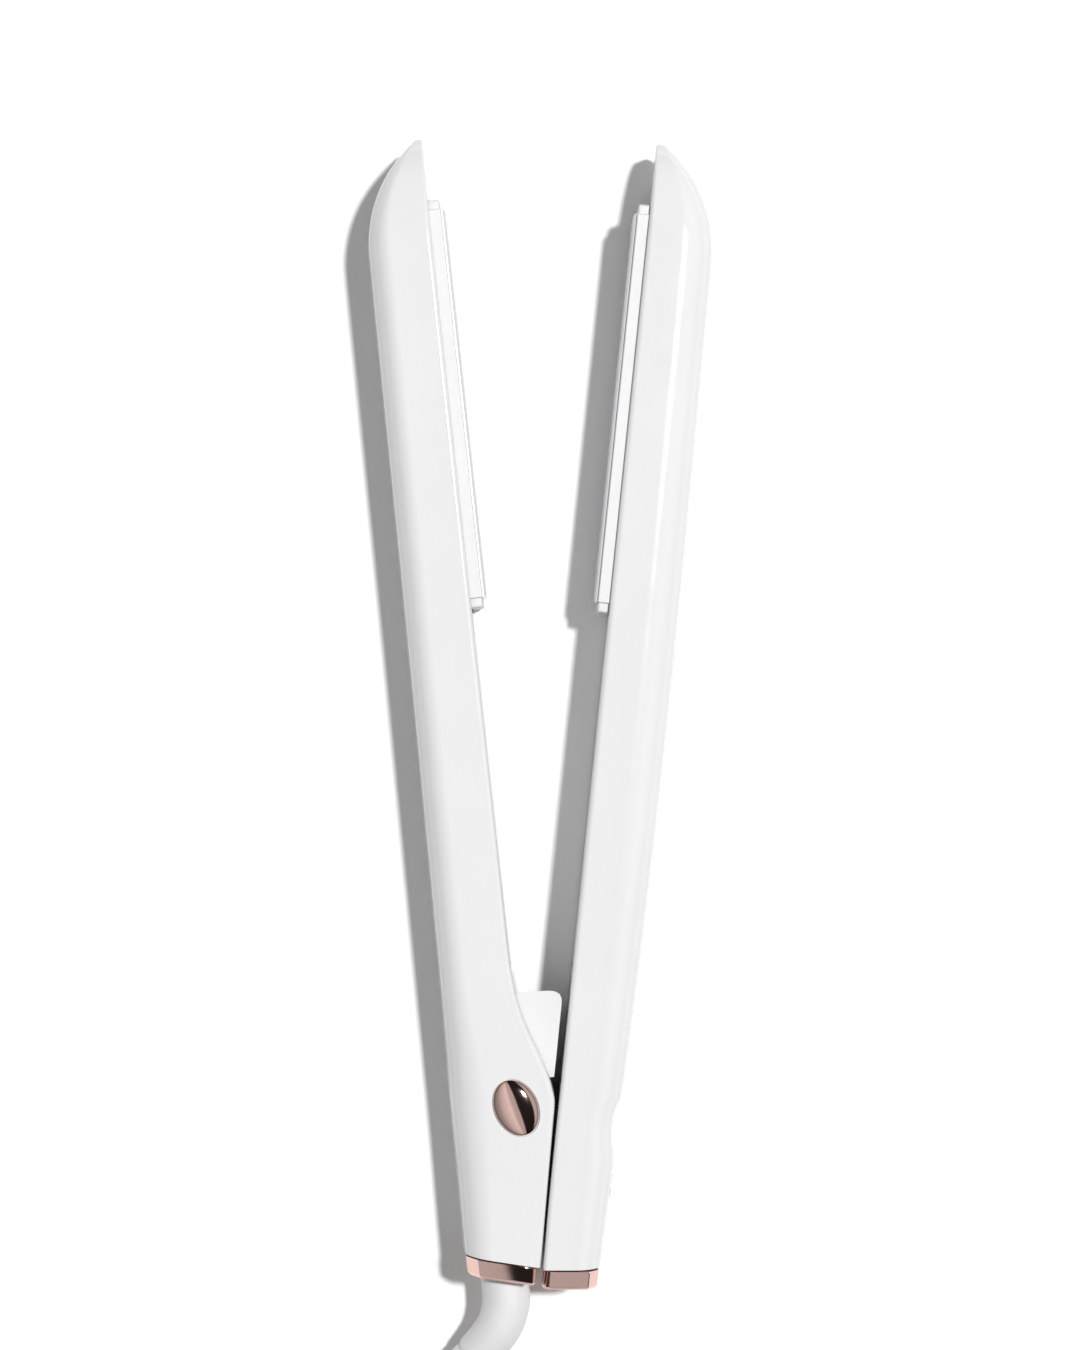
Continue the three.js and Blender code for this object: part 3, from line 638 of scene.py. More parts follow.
def tail_plane(arm, below):
    """A point on the slanted joint plane at the tail, moved down the arm, and its normal."""
    point = Vector((0, arm["tail_at_axis"] * MM - below, MID))
    normal = Vector((-arm["tail_slope"], 1, 0)).normalized()
    return point, normal


def float_opening(arm):
    """The long opening that the cover and the plate carrier fill."""
    side = arm["side"]
    face = side * curve_at(arm["inner"], 100) * MM
    wall = bpy.context.scene.flat_iron_sizes.wall
    return add_box("opening", (face - side * MM, 36 * MM, wall),
                   (face + side * 3.2 * MM, PLATE_START + PLATE_LENGTH + NUB + 0.4 * MM,
                    ARM_WIDTH - wall))


def badge_oval(name, low, high, margin, sides=96):
    """An oval post over the hinge, leaning as the badge leans."""
    sizes = bpy.context.scene.flat_iron_sizes
    post = add_rod(name, 1.0, high - low, (0, 0, (low + high) / 2), sides=sides)
    post.scale = (sizes.badge_short + margin, sizes.badge_long + margin, 1)
    post.rotation_euler.z = sizes.badge_lean
    bpy.ops.object.transform_apply(location=True, rotation=True, scale=True)
    return post


class FLATIRON_OT_casings(bpy.types.Operator):
    """Model both white casings, hollow and open towards the plates"""
    bl_idname = "flat_iron.casings"
    bl_label = "Casings"

    def execute(self, context):
        wall = context.scene.flat_iron_sizes.wall
        soft = context.scene.flat_iron_sizes.edge
        for name, arm in (("left", LEFT), ("right", RIGHT)):
            shell = arm_blank(f"{name}_casing", arm, 0.0, BODY_STATIONS, TIP_RISES)
            point, normal = tail_plane(arm, 0)
            slice_off(shell, point, normal, outer=False)
            hollow = arm_blank("hollow", arm, wall, [-54, *BODY_STATIONS], TIP_RISES[:7])
            boolean(shell, [hollow, float_opening(arm), *self.windows(name, arm)])
            soften(shell, soft)
            finish_piece(shell, f"{name}_arm", "gloss_shell",
                         [f"{name}_shell"], arm["turn"])
        return {"FINISHED"}

    @staticmethod
    def windows(name, arm):
        """What else is cut out of a casing: hinge windows, badge pockets, control holes."""
        near, far = (0.0, 14 * MM) if name == "left" else (8 * MM, 13.2 * MM)
        block_low, block_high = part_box("hinge_block")[0].z + 2.5 * MM, ARM_WIDTH - 5.7 * MM
        cutters = [
            add_box("block_window", (near, 5.2 * MM, block_low), (far, 34 * MM, block_high)),
            add_box("lug_window", (max(near, 2 * MM), -12 * MM, 9.3 * MM),
                    (far, 5.4 * MM, 22.7 * MM)),
        ]
        if name == "left":
            cutters.append(
                badge_oval("badge_pocket", ARM_WIDTH - 0.9 * MM, ARM_WIDTH + MM, 0.35 * MM))
            cutters.append(badge_oval("cap_pocket", -MM, 0.9 * MM, 0.3 * MM))
            return cutters
        for button, (y, z, radius, _) in BUTTONS.items():
            cutters.append(add_rod(button, radius + GAP, 10 * MM, (25 * MM, y, z), ALONG_X))
        for z in LIGHT_HEIGHTS:
            cutters.append(add_rod("light", 0.95 * MM, 8 * MM, (26 * MM, LIGHT_Y, z),
                                   ALONG_X, sides=20))
        return cutters


class FLATIRON_OT_end_caps(bpy.types.Operator):
    """Model the two faceted rose-gold end caps"""
    bl_idname = "flat_iron.end_caps"
    bl_label = "End caps"

    # Facets of each cap's section, in mm: x from the hinge axis, then depth below the flat side.
    FACETS = {
        "left": [(-17.15, 4.0), (-14.2, 0.35), (-13.9, 0.0), (-4.6, 0.0), (1.2, 0.65), (1.9, 1.4)],
        "right": [(25.65, 3.2), (23.6, 0.3), (23.3, 0.0), (13.3, 0.0), (12.9, 0.25), (11.35, 1.9)],
    }

    def execute(self, context):
        for name, arm in (("left", LEFT), ("right", RIGHT)):
            facets = [(x * MM, drop * MM) for x, drop in self.FACETS[name]]
            upper = [(x, ARM_WIDTH - drop) for x, drop in facets]
            lower = [(x, drop) for x, drop in reversed(facets)]
            cap = add_outline(f"{name}_cap_band", upper + lower, 36 * MM, 52 * MM)
            # The outline is drawn flat, then stood up so that its length runs along the arm.
            cap.data.transform(Matrix.Rotation(math.pi / 2, 4, "X"))
            self.narrow(cap, name)
            point, normal = tail_plane(arm, GAP)
            slice_off(cap, point, normal)
            point, normal = tail_plane(arm, CAP_DEPTH)
            slice_off(cap, point, normal, outer=False)
            self.bevel_foot(cap, point, normal)
            if name == "left":
                boot = swept_line(BOOT[0], BOOT[1], LEFT_TURN)
                boolean(cap, [add_rod("boot_hole", 6.75 * MM, 40 * MM, boot, (math.pi / 2, 0, 0))])
            soften(cap, 0.12 * MM, 2, 20)
            finish_piece(cap, f"{name}_arm", "rose_gold",
                         [f"{name}_end_cap"], arm["turn"], 18)
        return {"FINISHED"}

    @staticmethod
    def narrow(cap, name):
        """Draw the left cap's inner side in towards its foot, as the tail narrows."""
        edit(cap)
        if name == "left":
            pick(cap, lambda v: v.co.x > 0 and v.co.y < -50 * MM)
            shift((-2.9 * MM, 0, 0))
        close_up()

    @staticmethod
    def bevel_foot(cap, point, normal):
        edit(cap)
        pick(cap, lambda e: all(abs((v.co - point).dot(normal)) < 1e-6 for v in e.verts), "EDGE")
        bpy.ops.mesh.bevel(offset=0.7 * MM, segments=1, affect="EDGES")
        close_up()


def swept_line(first, second, turn):
    """The middle of a straight stretch, turned back into its arm's shut place."""
    middle = (Vector(first) + Vector(second)) / 2
    return Matrix.Rotation(-turn, 4, "Z") @ middle


class FLATIRON_OT_badge(bpy.types.Operator):
    """Model the domed oval badge and the flat cap on the hinge's other side"""
    bl_idname = "flat_iron.badge"
    bl_label = "Hinge badge and rear cap"

    def execute(self, context):
        low, high = (corner.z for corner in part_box("hinge_badge"))
        base = ARM_WIDTH + 0.05 * MM
        badge = badge_oval("hinge_badge_dome", low, base, 0.0)
        edit(badge)
        pick(badge, lambda f: f.normal.z > 0.9, "FACE")
        steps = 9
        for i in range(1, steps + 1):
            last, now = math.pi / 2 * (i - 1) / steps, math.pi / 2 * i / steps
            before, after = math.cos(last), math.cos(now)
            rise = math.sin(now) - math.sin(last)
            grow((0, 0, rise * (high - base)))
            factor = max(after, 0.04) / before
            stretch((factor, factor, 1), (0, 0, base))
        close_up()
        finish_piece(badge, "left_arm", "rose_gold", ["hinge_badge"],
                     LEFT_TURN, 50)
        low, high = (corner.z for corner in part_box("hinge_rear_cap"))
        cap = badge_oval("hinge_rear_disc", low, high, 0.0)
        soften(cap, 0.15 * MM, 2)
        finish_piece(cap, "left_arm", "satin_white", ["hinge_rear_cap"],
                     LEFT_TURN)
        return {"FINISHED"}


class FLATIRON_OT_hinge_block(bpy.types.Operator):
    """Model the block that bridges the two arms at the hinge"""
    bl_idname = "flat_iron.hinge_block"
    bl_label = "Hinge block"

    OUTLINE = [(-7, 6.3), (10.6, 6.3), (11.7, 11.3), (13.3, 19), (14.6, 25), (14.75, 26.4),
               (14.3, 27.7), (13.1, 28.5), (11.4, 28.8), (-7, 29.8)]
    DRAFT = 0.91
    FOOT = 6.3 * MM
    REAR = 6 * MM
    EAR = 6 * MM
    EAR_START = 3.2 * MM
    PIN_HOLE = 2.95 * MM

    def execute(self, context):
        outline = [(x * MM, y * MM) for x, y in self.OUTLINE]
        block = add_outline("hinge_bridge", outline, self.REAR, ARM_WIDTH - self.REAR)
        # The mould's draft: the outer walls lean in towards the rear.
        edit(block)
        pick(block, lambda v: v.co.z < self.REAR + MM)
        stretch((self.DRAFT, self.DRAFT, 1), (0, self.FOOT, self.REAR))
        close_up()
        ears = []
        for low in (self.EAR_START, ARM_WIDTH - 9.2 * MM):
            ears.append(add_rod("ear", self.EAR, self.EAR, (0, 0, low + 3 * MM)))
            ears.append(add_box("web", (-6 * MM, 0, low + 1e-5), (5 * MM, 8 * MM, low + 5.99 * MM)))
        boolean(block, ears, "UNION")
        boolean(block, [add_rod("pin_hole", self.PIN_HOLE, 40 * MM, (0, 0, MID))])
        soften(block, 1.5 * MM, 5)
        finish_piece(block, "left_arm", "satin_white", ["hinge_block"],
                     LEFT_TURN)
        return {"FINISHED"}


# ---------------------------------------------------------------- plates
class FLATIRON_OT_plates(bpy.types.Operator):
    """Model the floating carriers with their nubs, and the coated plates"""
    bl_idname = "flat_iron.plates"
    bl_label = "Plates and carriers"

    def execute(self, context):
        for name, arm in (("left", LEFT), ("right", RIGHT)):
            self.carrier(name, arm)
            self.plate(name, arm)
        return {"FINISHED"}

    @staticmethod
    def carrier(name, arm):
        side = arm["side"]
        front = PLATE_FACE + side * (PLATE_THICK + 0.01 * MM)
        start, end = PLATE_START, PLATE_START + PLATE_LENGTH
        body = add_box("carrier_body", (front, start, CARRIER_LOW),
                       (front + side * CARRIER_DEPTH, end, ARM_WIDTH - CARRIER_LOW))
        soften(body, 0.35 * MM, 3)
        nubs = []
        for at, way in ((start, -1), (end, 1)):
            nub = add_box("nub", (front + side * 0.1 * MM, at - way * MM, CARRIER_LOW + 0.8 * MM),
                          (front + side * 3.5 * MM, at + way * NUB,
                           ARM_WIDTH - CARRIER_LOW - 0.8 * MM))
            soften(nub, 0.6 * MM, 4)
            nubs.append(nub)
        boolean(body, nubs, "UNION")
        window = add_box("heater_window", (-10 * MM, start + 7.9 * MM, 7.2 * MM),
                         (20 * MM, end - 7.9 * MM, ARM_WIDTH - 7.2 * MM))
        boolean(body, [window])
        body.name = f"{name}_plate_carrier"
        finish_piece(body, f"{name}_plate_float", "satin_white",
                     [f"{name}_carrier"], arm["turn"])

    @staticmethod
    def plate(name, arm):
        side = arm["side"]
        face = PLATE_FACE + side * 0.1 * MM
        back = PLATE_FACE + side * PLATE_THICK
        low = (ARM_WIDTH - PLATE_WIDTH) / 2
        slab = add_box(f"{name}_heated_plate", (face, PLATE_START, low),
                       (back, PLATE_START + PLATE_LENGTH, ARM_WIDTH - low))
        edit(slab)
        pick(slab, lambda e: all(abs(v.co.x - face) < 1e-6 for v in e.verts), "EDGE")
        bpy.ops.mesh.bevel(offset=0.75 * MM, segments=5, affect="EDGES")
        close_up()
        rail = add_box("rail", (back - side * 0.2 * MM, PLATE_START + 8.2 * MM, 7.5 * MM),
                       (back + side * 1.6 * MM, PLATE_START + PLATE_LENGTH - 8.2 * MM,
                        ARM_WIDTH - 7.5 * MM))
        boolean(slab, [rail], "UNION")
        finish_piece(slab, f"{name}_plate_float", "ceramic_plate",
                     [f"{name}_plate"], arm["turn"])


class FLATIRON_OT_float_springs(bpy.types.Operator):
    """Wind the four springs that press the plates outwards"""
    bl_idname = "flat_iron.float_springs"
    bl_label = "Plate springs"

    PLACES = {"tail": 136.4, "tip": 229.8}
    RADIUS = 2.6 * MM
    WIRE = 0.4 * MM
    TURNS = 7

    def execute(self, context):
        for name, arm in (("left", LEFT), ("right", RIGHT)):
            for end, y in self.PLACES.items():
                self.spring(name, end, arm, y)
        return {"FINISHED"}

    def spring(self, name, end, arm, y):
        near = PLATE_FACE + arm["side"] * (PLATE_THICK + 7.2 * MM)
        far = arm["side"] * (outer_at(arm, y + 3) - 2.1) * MM
        first, last = (at + way * arm["side"] * self.WIRE for at, way in ((near, 1), (far, -1)))
        steps = self.TURNS * 20
        route = []
        for i in range(steps + 1):
            turn = self.TURNS * i / steps
            # The first and last turns lie flat, a wire apart.
            flat = min(turn, 1.0) + max(turn - self.TURNS + 1, 0.0)
            close = 2.05 * self.WIRE * arm["side"]
            rise = turn - flat
            x = first + close * flat + (last - first - 2 * close) * rise / (self.TURNS - 2)
            angle = 2 * math.pi * turn
            route.append((x, y * MM + self.RADIUS * math.cos(angle),
                          MID + self.RADIUS * math.sin(angle)))
        spring = swept(f"{name}_plate_spring_{end}", route, [self.WIRE] * len(route), 12)
        finish_piece(spring, f"{name}_arm", "steel",
                     [f"{name}_float_spring_{end}"], arm["turn"])
        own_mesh(spring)


class FLATIRON_OT_covers(bpy.types.Operator):
    """Model the inner covers and the screws that hold them"""
    bl_idname = "flat_iron.covers"
    bl_label = "Inner covers and screws"

    SCREWS = {"tail": 52 * MM, "tip": 112 * MM}

    def execute(self, context):
        screw = self.model_screw()
        for name, arm in (("left", LEFT), ("right", RIGHT)):
            side = arm["side"]
            face = side * curve_at(arm["inner"], 100) * MM
            front, back = face + side * GAP, face + side * 1.7 * MM
            cover = add_box(f"{name}_cover_plate", (front, 36.3 * MM, 2.1 * MM),
                            (back, PLATE_START - NUB - GAP, ARM_WIDTH - 2.1 * MM))
            holes = [add_rod("hole", 2.6 * MM, 8 * MM, (face, y, MID), ALONG_X)
                     for y in self.SCREWS.values()]
            boolean(cover, holes)
            soften(cover, 0.25 * MM, 2)
            finish_piece(cover, f"{name}_arm", "satin_white",
                         [f"{name}_inner_cover"], arm["turn"])
            for end, y in self.SCREWS.items():
                self.place_screw(screw, name, end, arm, face, y)
        bpy.data.objects.remove(screw)
        return {"FINISHED"}

    @staticmethod
    def model_screw():
        """A pan-headed cross-recess screw on +X, its head's rim at the origin."""
        head = add_rod("screw", 2.2 * MM, 1.3 * MM, (-0.65 * MM, 0, 0), ALONG_X, 40)
        soften(head, 0.35 * MM, 3)
        shank = add_rod("shank", 1.1 * MM, 7.6 * MM, (-4.8 * MM, 0, 0), ALONG_X, 24)
        boolean(head, [shank], "UNION")
        for wide, tall in ((0.55, 2.5), (2.5, 0.55)):
            cross = add_box("cross", (-0.75 * MM, -wide / 2 * MM, -tall / 2 * MM),
                            (MM, wide / 2 * MM, tall / 2 * MM))
            boolean(head, [cross])
        return head

    @staticmethod
    def place_screw(screw, name, end, arm, face, y):
        copy = screw.copy()
        copy.data = screw.data.copy()
        copy.name = copy.data.name = f"{name}_cover_screw_{end}"
        bpy.context.scene.collection.objects.link(copy)
        half_turn = Matrix.Rotation(math.pi if arm["side"] > 0 else 0.0, 4, "Z")
        seat = Matrix.Translation((face + arm["side"] * 0.4 * MM, y, MID))
        copy.data.transform(seat @ half_turn)
        finish_piece(copy, f"{name}_arm", "steel", [f"{name}_screw_{end}"],
                     arm["turn"])


class FLATIRON_OT_buttons(bpy.types.Operator):
    """Model the power button and the two heat buttons"""
    bl_idname = "flat_iron.buttons"
    bl_label = "Buttons"

    def execute(self, context):
        for name, (y, z, radius, top) in BUTTONS.items():
            stem = add_rod(f"{name}_cap", radius, BUTTON_STEM, (top - BUTTON_STEM / 2, y, z),
                           ALONG_X, 64)
            edit(stem)
            pick(stem, lambda f: f.normal.x > 0.9, "FACE")
            bpy.ops.mesh.inset(thickness=0.35 * MM)
            shift((0.12 * MM, 0, 0))
            bpy.ops.mesh.inset(thickness=0.22 * radius)
            shift((-0.18 * MM, 0, 0))
            bpy.ops.mesh.inset(thickness=0.3 * radius)
            shift((-0.14 * MM, 0, 0))
            close_up()
            flange = add_rod("flange", radius + 0.8 * MM, 0.9 * MM,
                             (top - BUTTON_STEM + 0.45 * MM, y, z), ALONG_X, 64)
            boolean(stem, [flange, *self.marks(name, y, z, radius, top)], "UNION")
            soften(stem, 0.08 * MM, 2, 40)
            finish_piece(stem, name, "gloss_shell", [name], RIGHT_TURN)
        return {"FINISHED"}

    @staticmethod
    def marks(name, y, z, radius, top):
        """Raised finger marks: a bar across, and on the heat-up button a second one."""
        if name == "power_button":
            return []
        long, thick = 0.5 * radius, 0.22 * MM
        inner, outer = top - 0.6 * MM, top + 0.02 * MM
        bars = [add_box("bar", (inner, y - long, z - thick), (outer, y + long, z + thick))]
        if name == "heat_up_button":
            bars.append(add_box("bar", (inner, y - thick, z - long), (outer, y + thick, z + long)))
        return bars


# ---------------------------------------------------------------- cord
def coil_route(sizes):
    """The coil's turns: each fills one slot, then moves to the next before coming full circle."""
    pitch = 2 * sizes.cord_radius
    centre = Vector(COIL_CENTRE)
    first = Vector(LEAD[-1]) - centre
    last = Vector(PLUG_LEAD[0]) - centre
    start = math.atan2(first.y, first.x)
    stay, move = COIL_STAY, COIL_MOVE
    finish = math.atan2(last.y, last.x) + 2 * math.pi * 11
    total = finish - start
    steps = round(total / math.radians(10))

    def slot_place(i):
        column, layer = COIL_SLOTS[min(i, len(COIL_SLOTS) - 1)]
        return sizes.coil_radius + (1.5 - column) * pitch, sizes.cord_radius + layer * pitch

    def ease(t):
        t = min(max(t, 0.0), 1.0)
        return 0.5 - 0.5 * math.cos(math.pi * t)

    route = []
    for k in range(1, steps):
        swing = total * k / steps
        turn = min(int(swing / (stay + move)), len(COIL_SLOTS) - 1)
        part = ease((swing - turn * (stay + move) - stay) / move)
        radius, height = (a + (b - a) * part
                          for a, b in zip(slot_place(turn), slot_place(turn + 1)))
        angle = start + swing
        # The strap draws the turns together where it goes round them.
        off_strap = math.degrees((angle + math.pi / 2 + math.pi) % (2 * math.pi) - math.pi)
        squeeze = 1 - STRAP_SQUEEZE * math.exp(-(off_strap / STRAP_SPREAD) ** 2)
        middle = 3 * sizes.cord_radius
        radius = sizes.coil_radius + (radius - sizes.coil_radius) * squeeze
        height = middle + (height - middle) * squeeze
        # The ends run in from the lead and out to the plug.
        into = 1 - ease(swing / COIL_RUN_IN)
        out = 1 - ease((total - swing) / COIL_RUN_IN)
        radius += (first.xy.length - radius) * into + (last.xy.length - radius) * out
        height += (first.z - height) * into + (last.z - height) * out
        route.append(centre + Vector((radius * math.cos(angle), radius * math.sin(angle), height)))
    return route


class FLATIRON_OT_cord(bpy.types.Operator):
    """Lay the cord from its strain relief, through its coil, to the plug"""
    bl_idname = "flat_iron.cord"
    bl_label = "Cord"

    def execute(self, context):
        sizes = context.scene.flat_iron_sizes
        route = (through(LEAD, 0.003)[:-1] + [Vector(LEAD[-1])] + coil_route(sizes)
                 + through(PLUG_LEAD, 0.003))
        curve = bpy.data.curves.new("mains_cord", "CURVE")
        curve.dimensions = "3D"
        curve.bevel_depth = sizes.cord_radius
        curve.bevel_resolution = 5
        curve.use_fill_caps = True
        spline = curve.splines.new("POLY")
        spline.points.add(len(route) - 1)
        for point, place in zip(spline.points, route):
            point.co = (*place, 1.0)
        cord = bpy.data.objects.new("mains_cord", curve)
        context.scene.collection.objects.link(cord)
        cord.data.materials.append(finish_for("cord_white"))
        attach(cord, "cord")
        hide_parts("power_cord", "cord_coil", "plug_lead")
        length = sum((b - a).length for a, b in zip(route, route[1:]))
        context.scene["cord_length"] = length
        return {"FINISHED"}


class FLATIRON_OT_cord_fittings(bpy.types.Operator):
    """Model the boot, the ribbed strain relief and the strap round the coil"""
    bl_idname = "flat_iron.cord_fittings"
    bl_label = "Boot, strain relief and strap"

    def execute(self, context):
        self.boot()
        self.relief()
        self.strap()
        return {"FINISHED"}

    @staticmethod
    def boot():
        route = through(BOOT, 0.0008)
        last = len(route) - 1
        radii = []
        for i in range(len(route)):
            t = i / last
            rounding = 0.97 if i in (0, last) else 1.0
            radii.append((6.4 - 0.9 * t * t) * MM * rounding)
        boot = swept("swivel_boot", route, radii, 48)
        finish_piece(boot, "cord", "cord_white", ["cord_boot"], smooth=50)

    @staticmethod
    def relief():
        route = through(RELIEF, 0.00045)
        last = len(route) - 1
        radii = []
        for i in range(len(route)):
            t = i / last
            groove = 0.5 * MM if 0.14 < t < 0.93 and (t * 34) % 3 < 1.0 else 0.0
            end = min(i, last - i)
            rounding = (0.86, 0.88, 0.97, 1.0)[min(end, 3)]
            collar = 5.2 if t < 0.09 else 4.8 - 1.1 * t
            radii.append((collar * MM - groove) * rounding)
        relief = swept("ribbed_strain_relief", route, radii, 40)
        finish_piece(relief, "cord", "cord_white", ["strain_relief"],
                     smooth=40)

    @staticmethod
    def strap():
        low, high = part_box("cord_tie")
        strap = add_box("coil_strap", low, high)
        edit(strap)
        along_x = (lambda e: abs(e.verts[0].co.x - e.verts[1].co.x) > 1e-4)
        pick(strap, along_x, "EDGE")
        bpy.ops.mesh.bevel(offset=3.2 * MM, segments=6, affect="EDGES")
        pick(strap, lambda f: abs(f.normal.x) > 0.9, "FACE")
        bpy.ops.mesh.delete(type="FACE")
        close_up()
        modifier = strap.modifiers.new("Strap thickness", "SOLIDIFY")
        modifier.thickness = 0.9 * MM
        modifier.offset = -1
        apply(strap, modifier)
        middle = (low + high) / 2
        keeper = add_box("keeper", (low.x - 0.01 * MM, middle.y - 3.5 * MM, high.z - 0.3 * MM),
                         (high.x + 0.01 * MM, middle.y + 3.5 * MM, high.z + 0.9 * MM))
        boolean(strap, [keeper], "UNION")
        soften(strap, 0.2 * MM, 2)
        finish_piece(strap, "cord", "tie", ["cord_tie"])


class FLATIRON_OT_plug(bpy.types.Operator):
    """Model the moulded two-blade plug at the cord's far end"""
    bl_idname = "flat_iron.plug"
    bl_label = "Plug"

    NECK = [(-1, 0.55), (5, 0.62), (12, 0.78), (16, 0.9)]
    OUTLINE = [(-4.2, 0), (4.2, 0), (4.6, 7), (5.4, 13.5), (8.2, 17.6), (11.8, 20), (13, 23.5),
               (13, 37), (12.2, 39.2), (10.2, 40), (-10.2, 40), (-12.2, 39.2), (-13, 37),
               (-13, 23.5),
               (-11.8, 20), (-8.2, 17.6), (-5.4, 13.5), (-4.6, 7)]

    def execute(self, context):
        low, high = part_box("plug_body")
        middle = (low.x + high.x) / 2
        outline = [(middle + x * MM, low.y + y * MM) for x, y in self.OUTLINE]
        body = add_outline("moulded_plug", outline, low.z, high.z)
        self.slim_neck(body, low, high)
        soften(body, 1.6 * MM, 5, 40)
        grooves = [add_box("groove", (low.x + 3.6 * MM, low.y + (25.2 + 2.6 * i) * MM, z0),
                           (high.x - 3.6 * MM, low.y + (26.4 + 2.6 * i) * MM, z1))
                   for i in range(4)
                   for z0, z1 in ((high.z - 0.5 * MM, high.z + MM), (-MM, 0.5 * MM))]
        grooves += [add_box("ring", (edge, low.y + (2.4 + 3 * i) * MM, -MM),
                            (middle + way * (3.9 + 0.22 * i) * MM,
                             low.y + (3.6 + 3 * i) * MM, 0.03))
                    for edge, way in ((low.x, -1), (high.x, 1)) for i in range(3)]
        boolean(body, grooves)
        finish_piece(body, "cord", "cord_white", ["plug_body"])
        for side in ("left", "right"):
            self.blade(side)
        return {"FINISHED"}

    def slim_neck(self, body, low, high):
        """Bring the neck down to the cord's thickness, in height as well as width."""
        edit(body)
        for y in sorted({y for _, y in self.OUTLINE})[1:-2]:
            bpy.ops.mesh.select_all(action="SELECT")
            bpy.ops.mesh.bisect(plane_co=(0, low.y + y * MM, 0), plane_no=(0, 1, 0))
        middle = (low.z + high.z) / 2
        for start, factor in self.NECK:
            pick(body, lambda v: low.y + start * MM < v.co.y < low.y + (start + 4) * MM)
            stretch((1, 1, factor), (0, 0, middle))
        close_up()

    @staticmethod
    def blade(side):
        low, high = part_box(f"plug_blade_{side}")
        blade = add_box(f"contact_blade_{side}", low, high)
        edit(blade)
        pick(blade, lambda e: all(abs(v.co.y - high.y) < 1e-6 for v in e.verts), "EDGE")
        bpy.ops.mesh.bevel(offset=0.5 * MM, segments=2, affect="EDGES")
        close_up()
        hole = add_rod("hole", 1.5 * MM, 0.01, ((low.x + high.x) / 2, high.y - 3.6 * MM,
                                                (low.z + high.z) / 2), ALONG_X, 28)
        boolean(blade, [hole])
        finish_piece(blade, "cord", "brass", [f"plug_blade_{side}"])


class FLATIRON_OT_declare_cord(bpy.types.Operator):
    """An empty step: it sets nothing about the free cord"""
    bl_idname = "flat_iron.declare_cord"
    bl_label = "Cord's facts"

    def execute(self, context):
        return {"FINISHED"}


# ---------------------------------------------------------------- inner parts and stage
class FLATIRON_OT_inner_parts(bpy.types.Operator):
    """Give every carried-over inner part its own finish"""
    bl_idname = "flat_iron.inner_parts"
    bl_label = "Inner parts"

    def execute(self, context):
        slots = {part["node"]: part["material_slot"] for part in frame["record"]["subparts"]}
        for name, node in frame["nodes"].items():
            node.data.materials.clear()
            node.data.materials.append(finish_for(slots[name]))
        return {"FINISHED"}


class FLATIRON_OT_camera(bpy.types.Operator):
    """Set the camera straight above the iron"""
    bl_idname = "flat_iron.camera"
    bl_label = "Camera"

    def execute(self, context):
        clear_selection()
        height = context.scene.flat_iron_stage.camera_height
        bpy.ops.object.camera_add(location=(0.0062, 0.1121, height), rotation=(0, 0, 0))
        camera = context.object
        camera.name = "overhead_camera"
        camera.data.lens = 100
        camera.data.sensor_width = 36
        camera.data.dof.use_dof = False
        context.scene.camera = camera
        return {"FINISHED"}


KEY_DISTANCE = 3.0
KEY_SIZE = 0.19


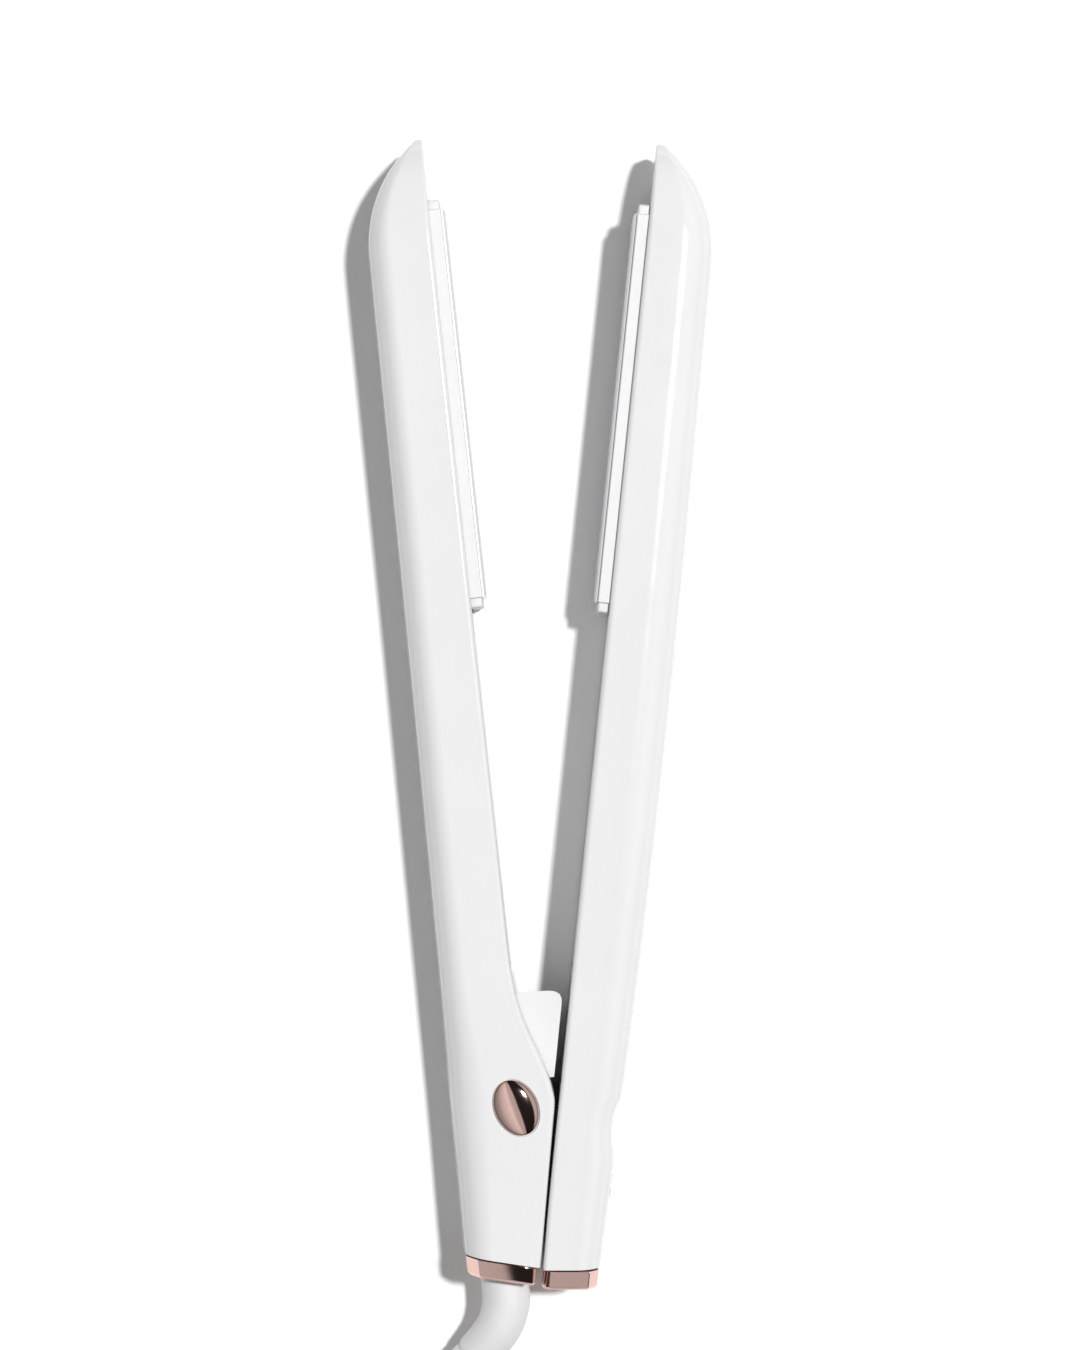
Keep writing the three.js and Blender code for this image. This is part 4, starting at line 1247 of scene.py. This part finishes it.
class FLATIRON_OT_stage(bpy.types.Operator):
    """Lay the pale floor and set the soft lights"""
    bl_idname = "flat_iron.stage"
    bl_label = "Stage"

    def execute(self, context):
        self.floor(context.scene.flat_iron_stage)
        self.key_light(context.scene.flat_iron_stage)
        self.sky(context)
        context.scene.view_settings.view_transform = "Standard"
        return {"FINISHED"}

    @staticmethod
    def floor(stage):
        clear_selection()
        bpy.ops.mesh.primitive_plane_add(size=stage.floor_size, location=(0, 0, -0.00005))
        floor = bpy.context.object
        floor.name = "studio_floor"
        paper = Finish("studio_paper", (0.95, 0.95, 0.952), 0.9)
        paper.set("Specular IOR Level", 0.1)
        paper.mottle(paper.noise(6, 2.0), 0.995)
        floor.data.materials.append(paper.material)

    @staticmethod
    def key_light(stage):
        aim = Vector((0.005, 0.1, 0))
        toward = Vector((8.8, 4.7, 32)).normalized()
        place = aim + toward * KEY_DISTANCE
        bpy.ops.object.light_add(type="AREA", location=place)
        key = bpy.context.object
        key.name = "key_light"
        key.rotation_euler = toward.to_track_quat("Z", "Y").to_euler()
        key.data.shape = "DISK"
        key.data.size = KEY_SIZE
        key.data.energy = stage.key_power

    @staticmethod
    def sky(context):
        """A pale room, brightest overhead, with one dark screen standing to the right."""
        world = bpy.data.worlds.new("studio_room")
        context.scene.world = world
        world.use_nodes = True
        nodes, links = world.node_tree.nodes, world.node_tree.links
        background = nodes["Background"]
        place = nodes.new("ShaderNodeTexCoord")
        lean = nodes.new("ShaderNodeMapping")
        lean.inputs["Rotation"].default_value = (0, 0, -0.29)
        split = nodes.new("ShaderNodeSeparateXYZ")
        across = StageNodes.reach(nodes, -1.0)
        upward = StageNodes.reach(nodes, 0.0)
        links.new(place.outputs["Generated"], lean.inputs["Vector"])
        links.new(lean.outputs["Vector"], split.inputs["Vector"])
        links.new(split.outputs["X"], across.inputs["Value"])
        links.new(split.outputs["Z"], upward.inputs["Value"])
        screens = StageNodes.ramp(nodes, [
            (0.0, 0.35), (0.25, 0.45), (0.43, 1.0), (0.46, 0.64), (0.502, 0.6), (0.51, 0.02),
            (0.7, 0.02), (0.74, 0.7), (1.0, 0.9)])
        height = StageNodes.ramp(nodes, [(0.0, 0.14), (0.35, 0.34), (0.7, 1.0), (1.0, 1.22)])
        links.new(across.outputs["Result"], screens.inputs["Fac"])
        links.new(upward.outputs["Result"], height.inputs["Fac"])
        both = nodes.new("ShaderNodeMath")
        both.operation = "MULTIPLY"
        links.new(screens.outputs["Color"], both.inputs[0])
        links.new(height.outputs["Color"], both.inputs[1])
        links.new(both.outputs["Value"], background.inputs["Color"])
        background.inputs["Strength"].default_value = context.scene.flat_iron_stage.sky


class StageNodes:
    """Small helpers for the room's nodes."""

    @staticmethod
    def reach(nodes, low):
        spread = nodes.new("ShaderNodeMapRange")
        spread.inputs["From Min"].default_value = low
        return spread

    @staticmethod
    def ramp(nodes, stops):
        ramp = nodes.new("ShaderNodeValToRGB")
        for position, _ in stops[1:-1]:
            ramp.color_ramp.elements.new(position)
        for element, (position, level) in zip(ramp.color_ramp.elements, stops):
            element.position = position
            element.color = (level, level, level, 1.0)
        return ramp


STEPS = [
    FLATIRON_OT_camera, FLATIRON_OT_cord, FLATIRON_OT_cord_fittings, FLATIRON_OT_plug,
    FLATIRON_OT_declare_cord, FLATIRON_OT_casings, FLATIRON_OT_end_caps, FLATIRON_OT_badge,
    FLATIRON_OT_hinge_block, FLATIRON_OT_plates, FLATIRON_OT_float_springs, FLATIRON_OT_covers,
    FLATIRON_OT_buttons, FLATIRON_OT_inner_parts, FLATIRON_OT_stage,
]


class FLATIRON_PT_panel(bpy.types.Panel):
    bl_idname = "FLATIRON_PT_panel"
    bl_label = "Flat Iron"
    bl_space_type = "VIEW_3D"
    bl_region_type = "UI"
    bl_category = "Flat Iron"

    def draw(self, context):
        for group in ("flat_iron_sizes", "flat_iron_colours", "flat_iron_stage"):
            settings = getattr(context.scene, group)
            box = self.layout.box()
            for name in settings.bl_rna.properties.keys()[2:]:
                box.prop(settings, name)
        for step in STEPS:
            self.layout.operator(step.bl_idname)


CLASSES = [FlatIronSizes, FlatIronColours, FlatIronStage, *STEPS, FLATIRON_PT_panel]


def register():
    for cls in CLASSES:
        bpy.utils.register_class(cls)
    bpy.types.Scene.flat_iron_sizes = bpy.props.PointerProperty(type=FlatIronSizes)
    bpy.types.Scene.flat_iron_colours = bpy.props.PointerProperty(type=FlatIronColours)
    bpy.types.Scene.flat_iron_stage = bpy.props.PointerProperty(type=FlatIronStage)


def unregister():
    del bpy.types.Scene.flat_iron_sizes
    del bpy.types.Scene.flat_iron_colours
    del bpy.types.Scene.flat_iron_stage
    for cls in reversed(CLASSES):
        bpy.utils.unregister_class(cls)


def main():
    register()
    for step in STEPS:
        group, name = step.bl_idname.split(".")
        getattr(getattr(bpy.ops, group), name)()


if __name__ == "__main__":
    main()
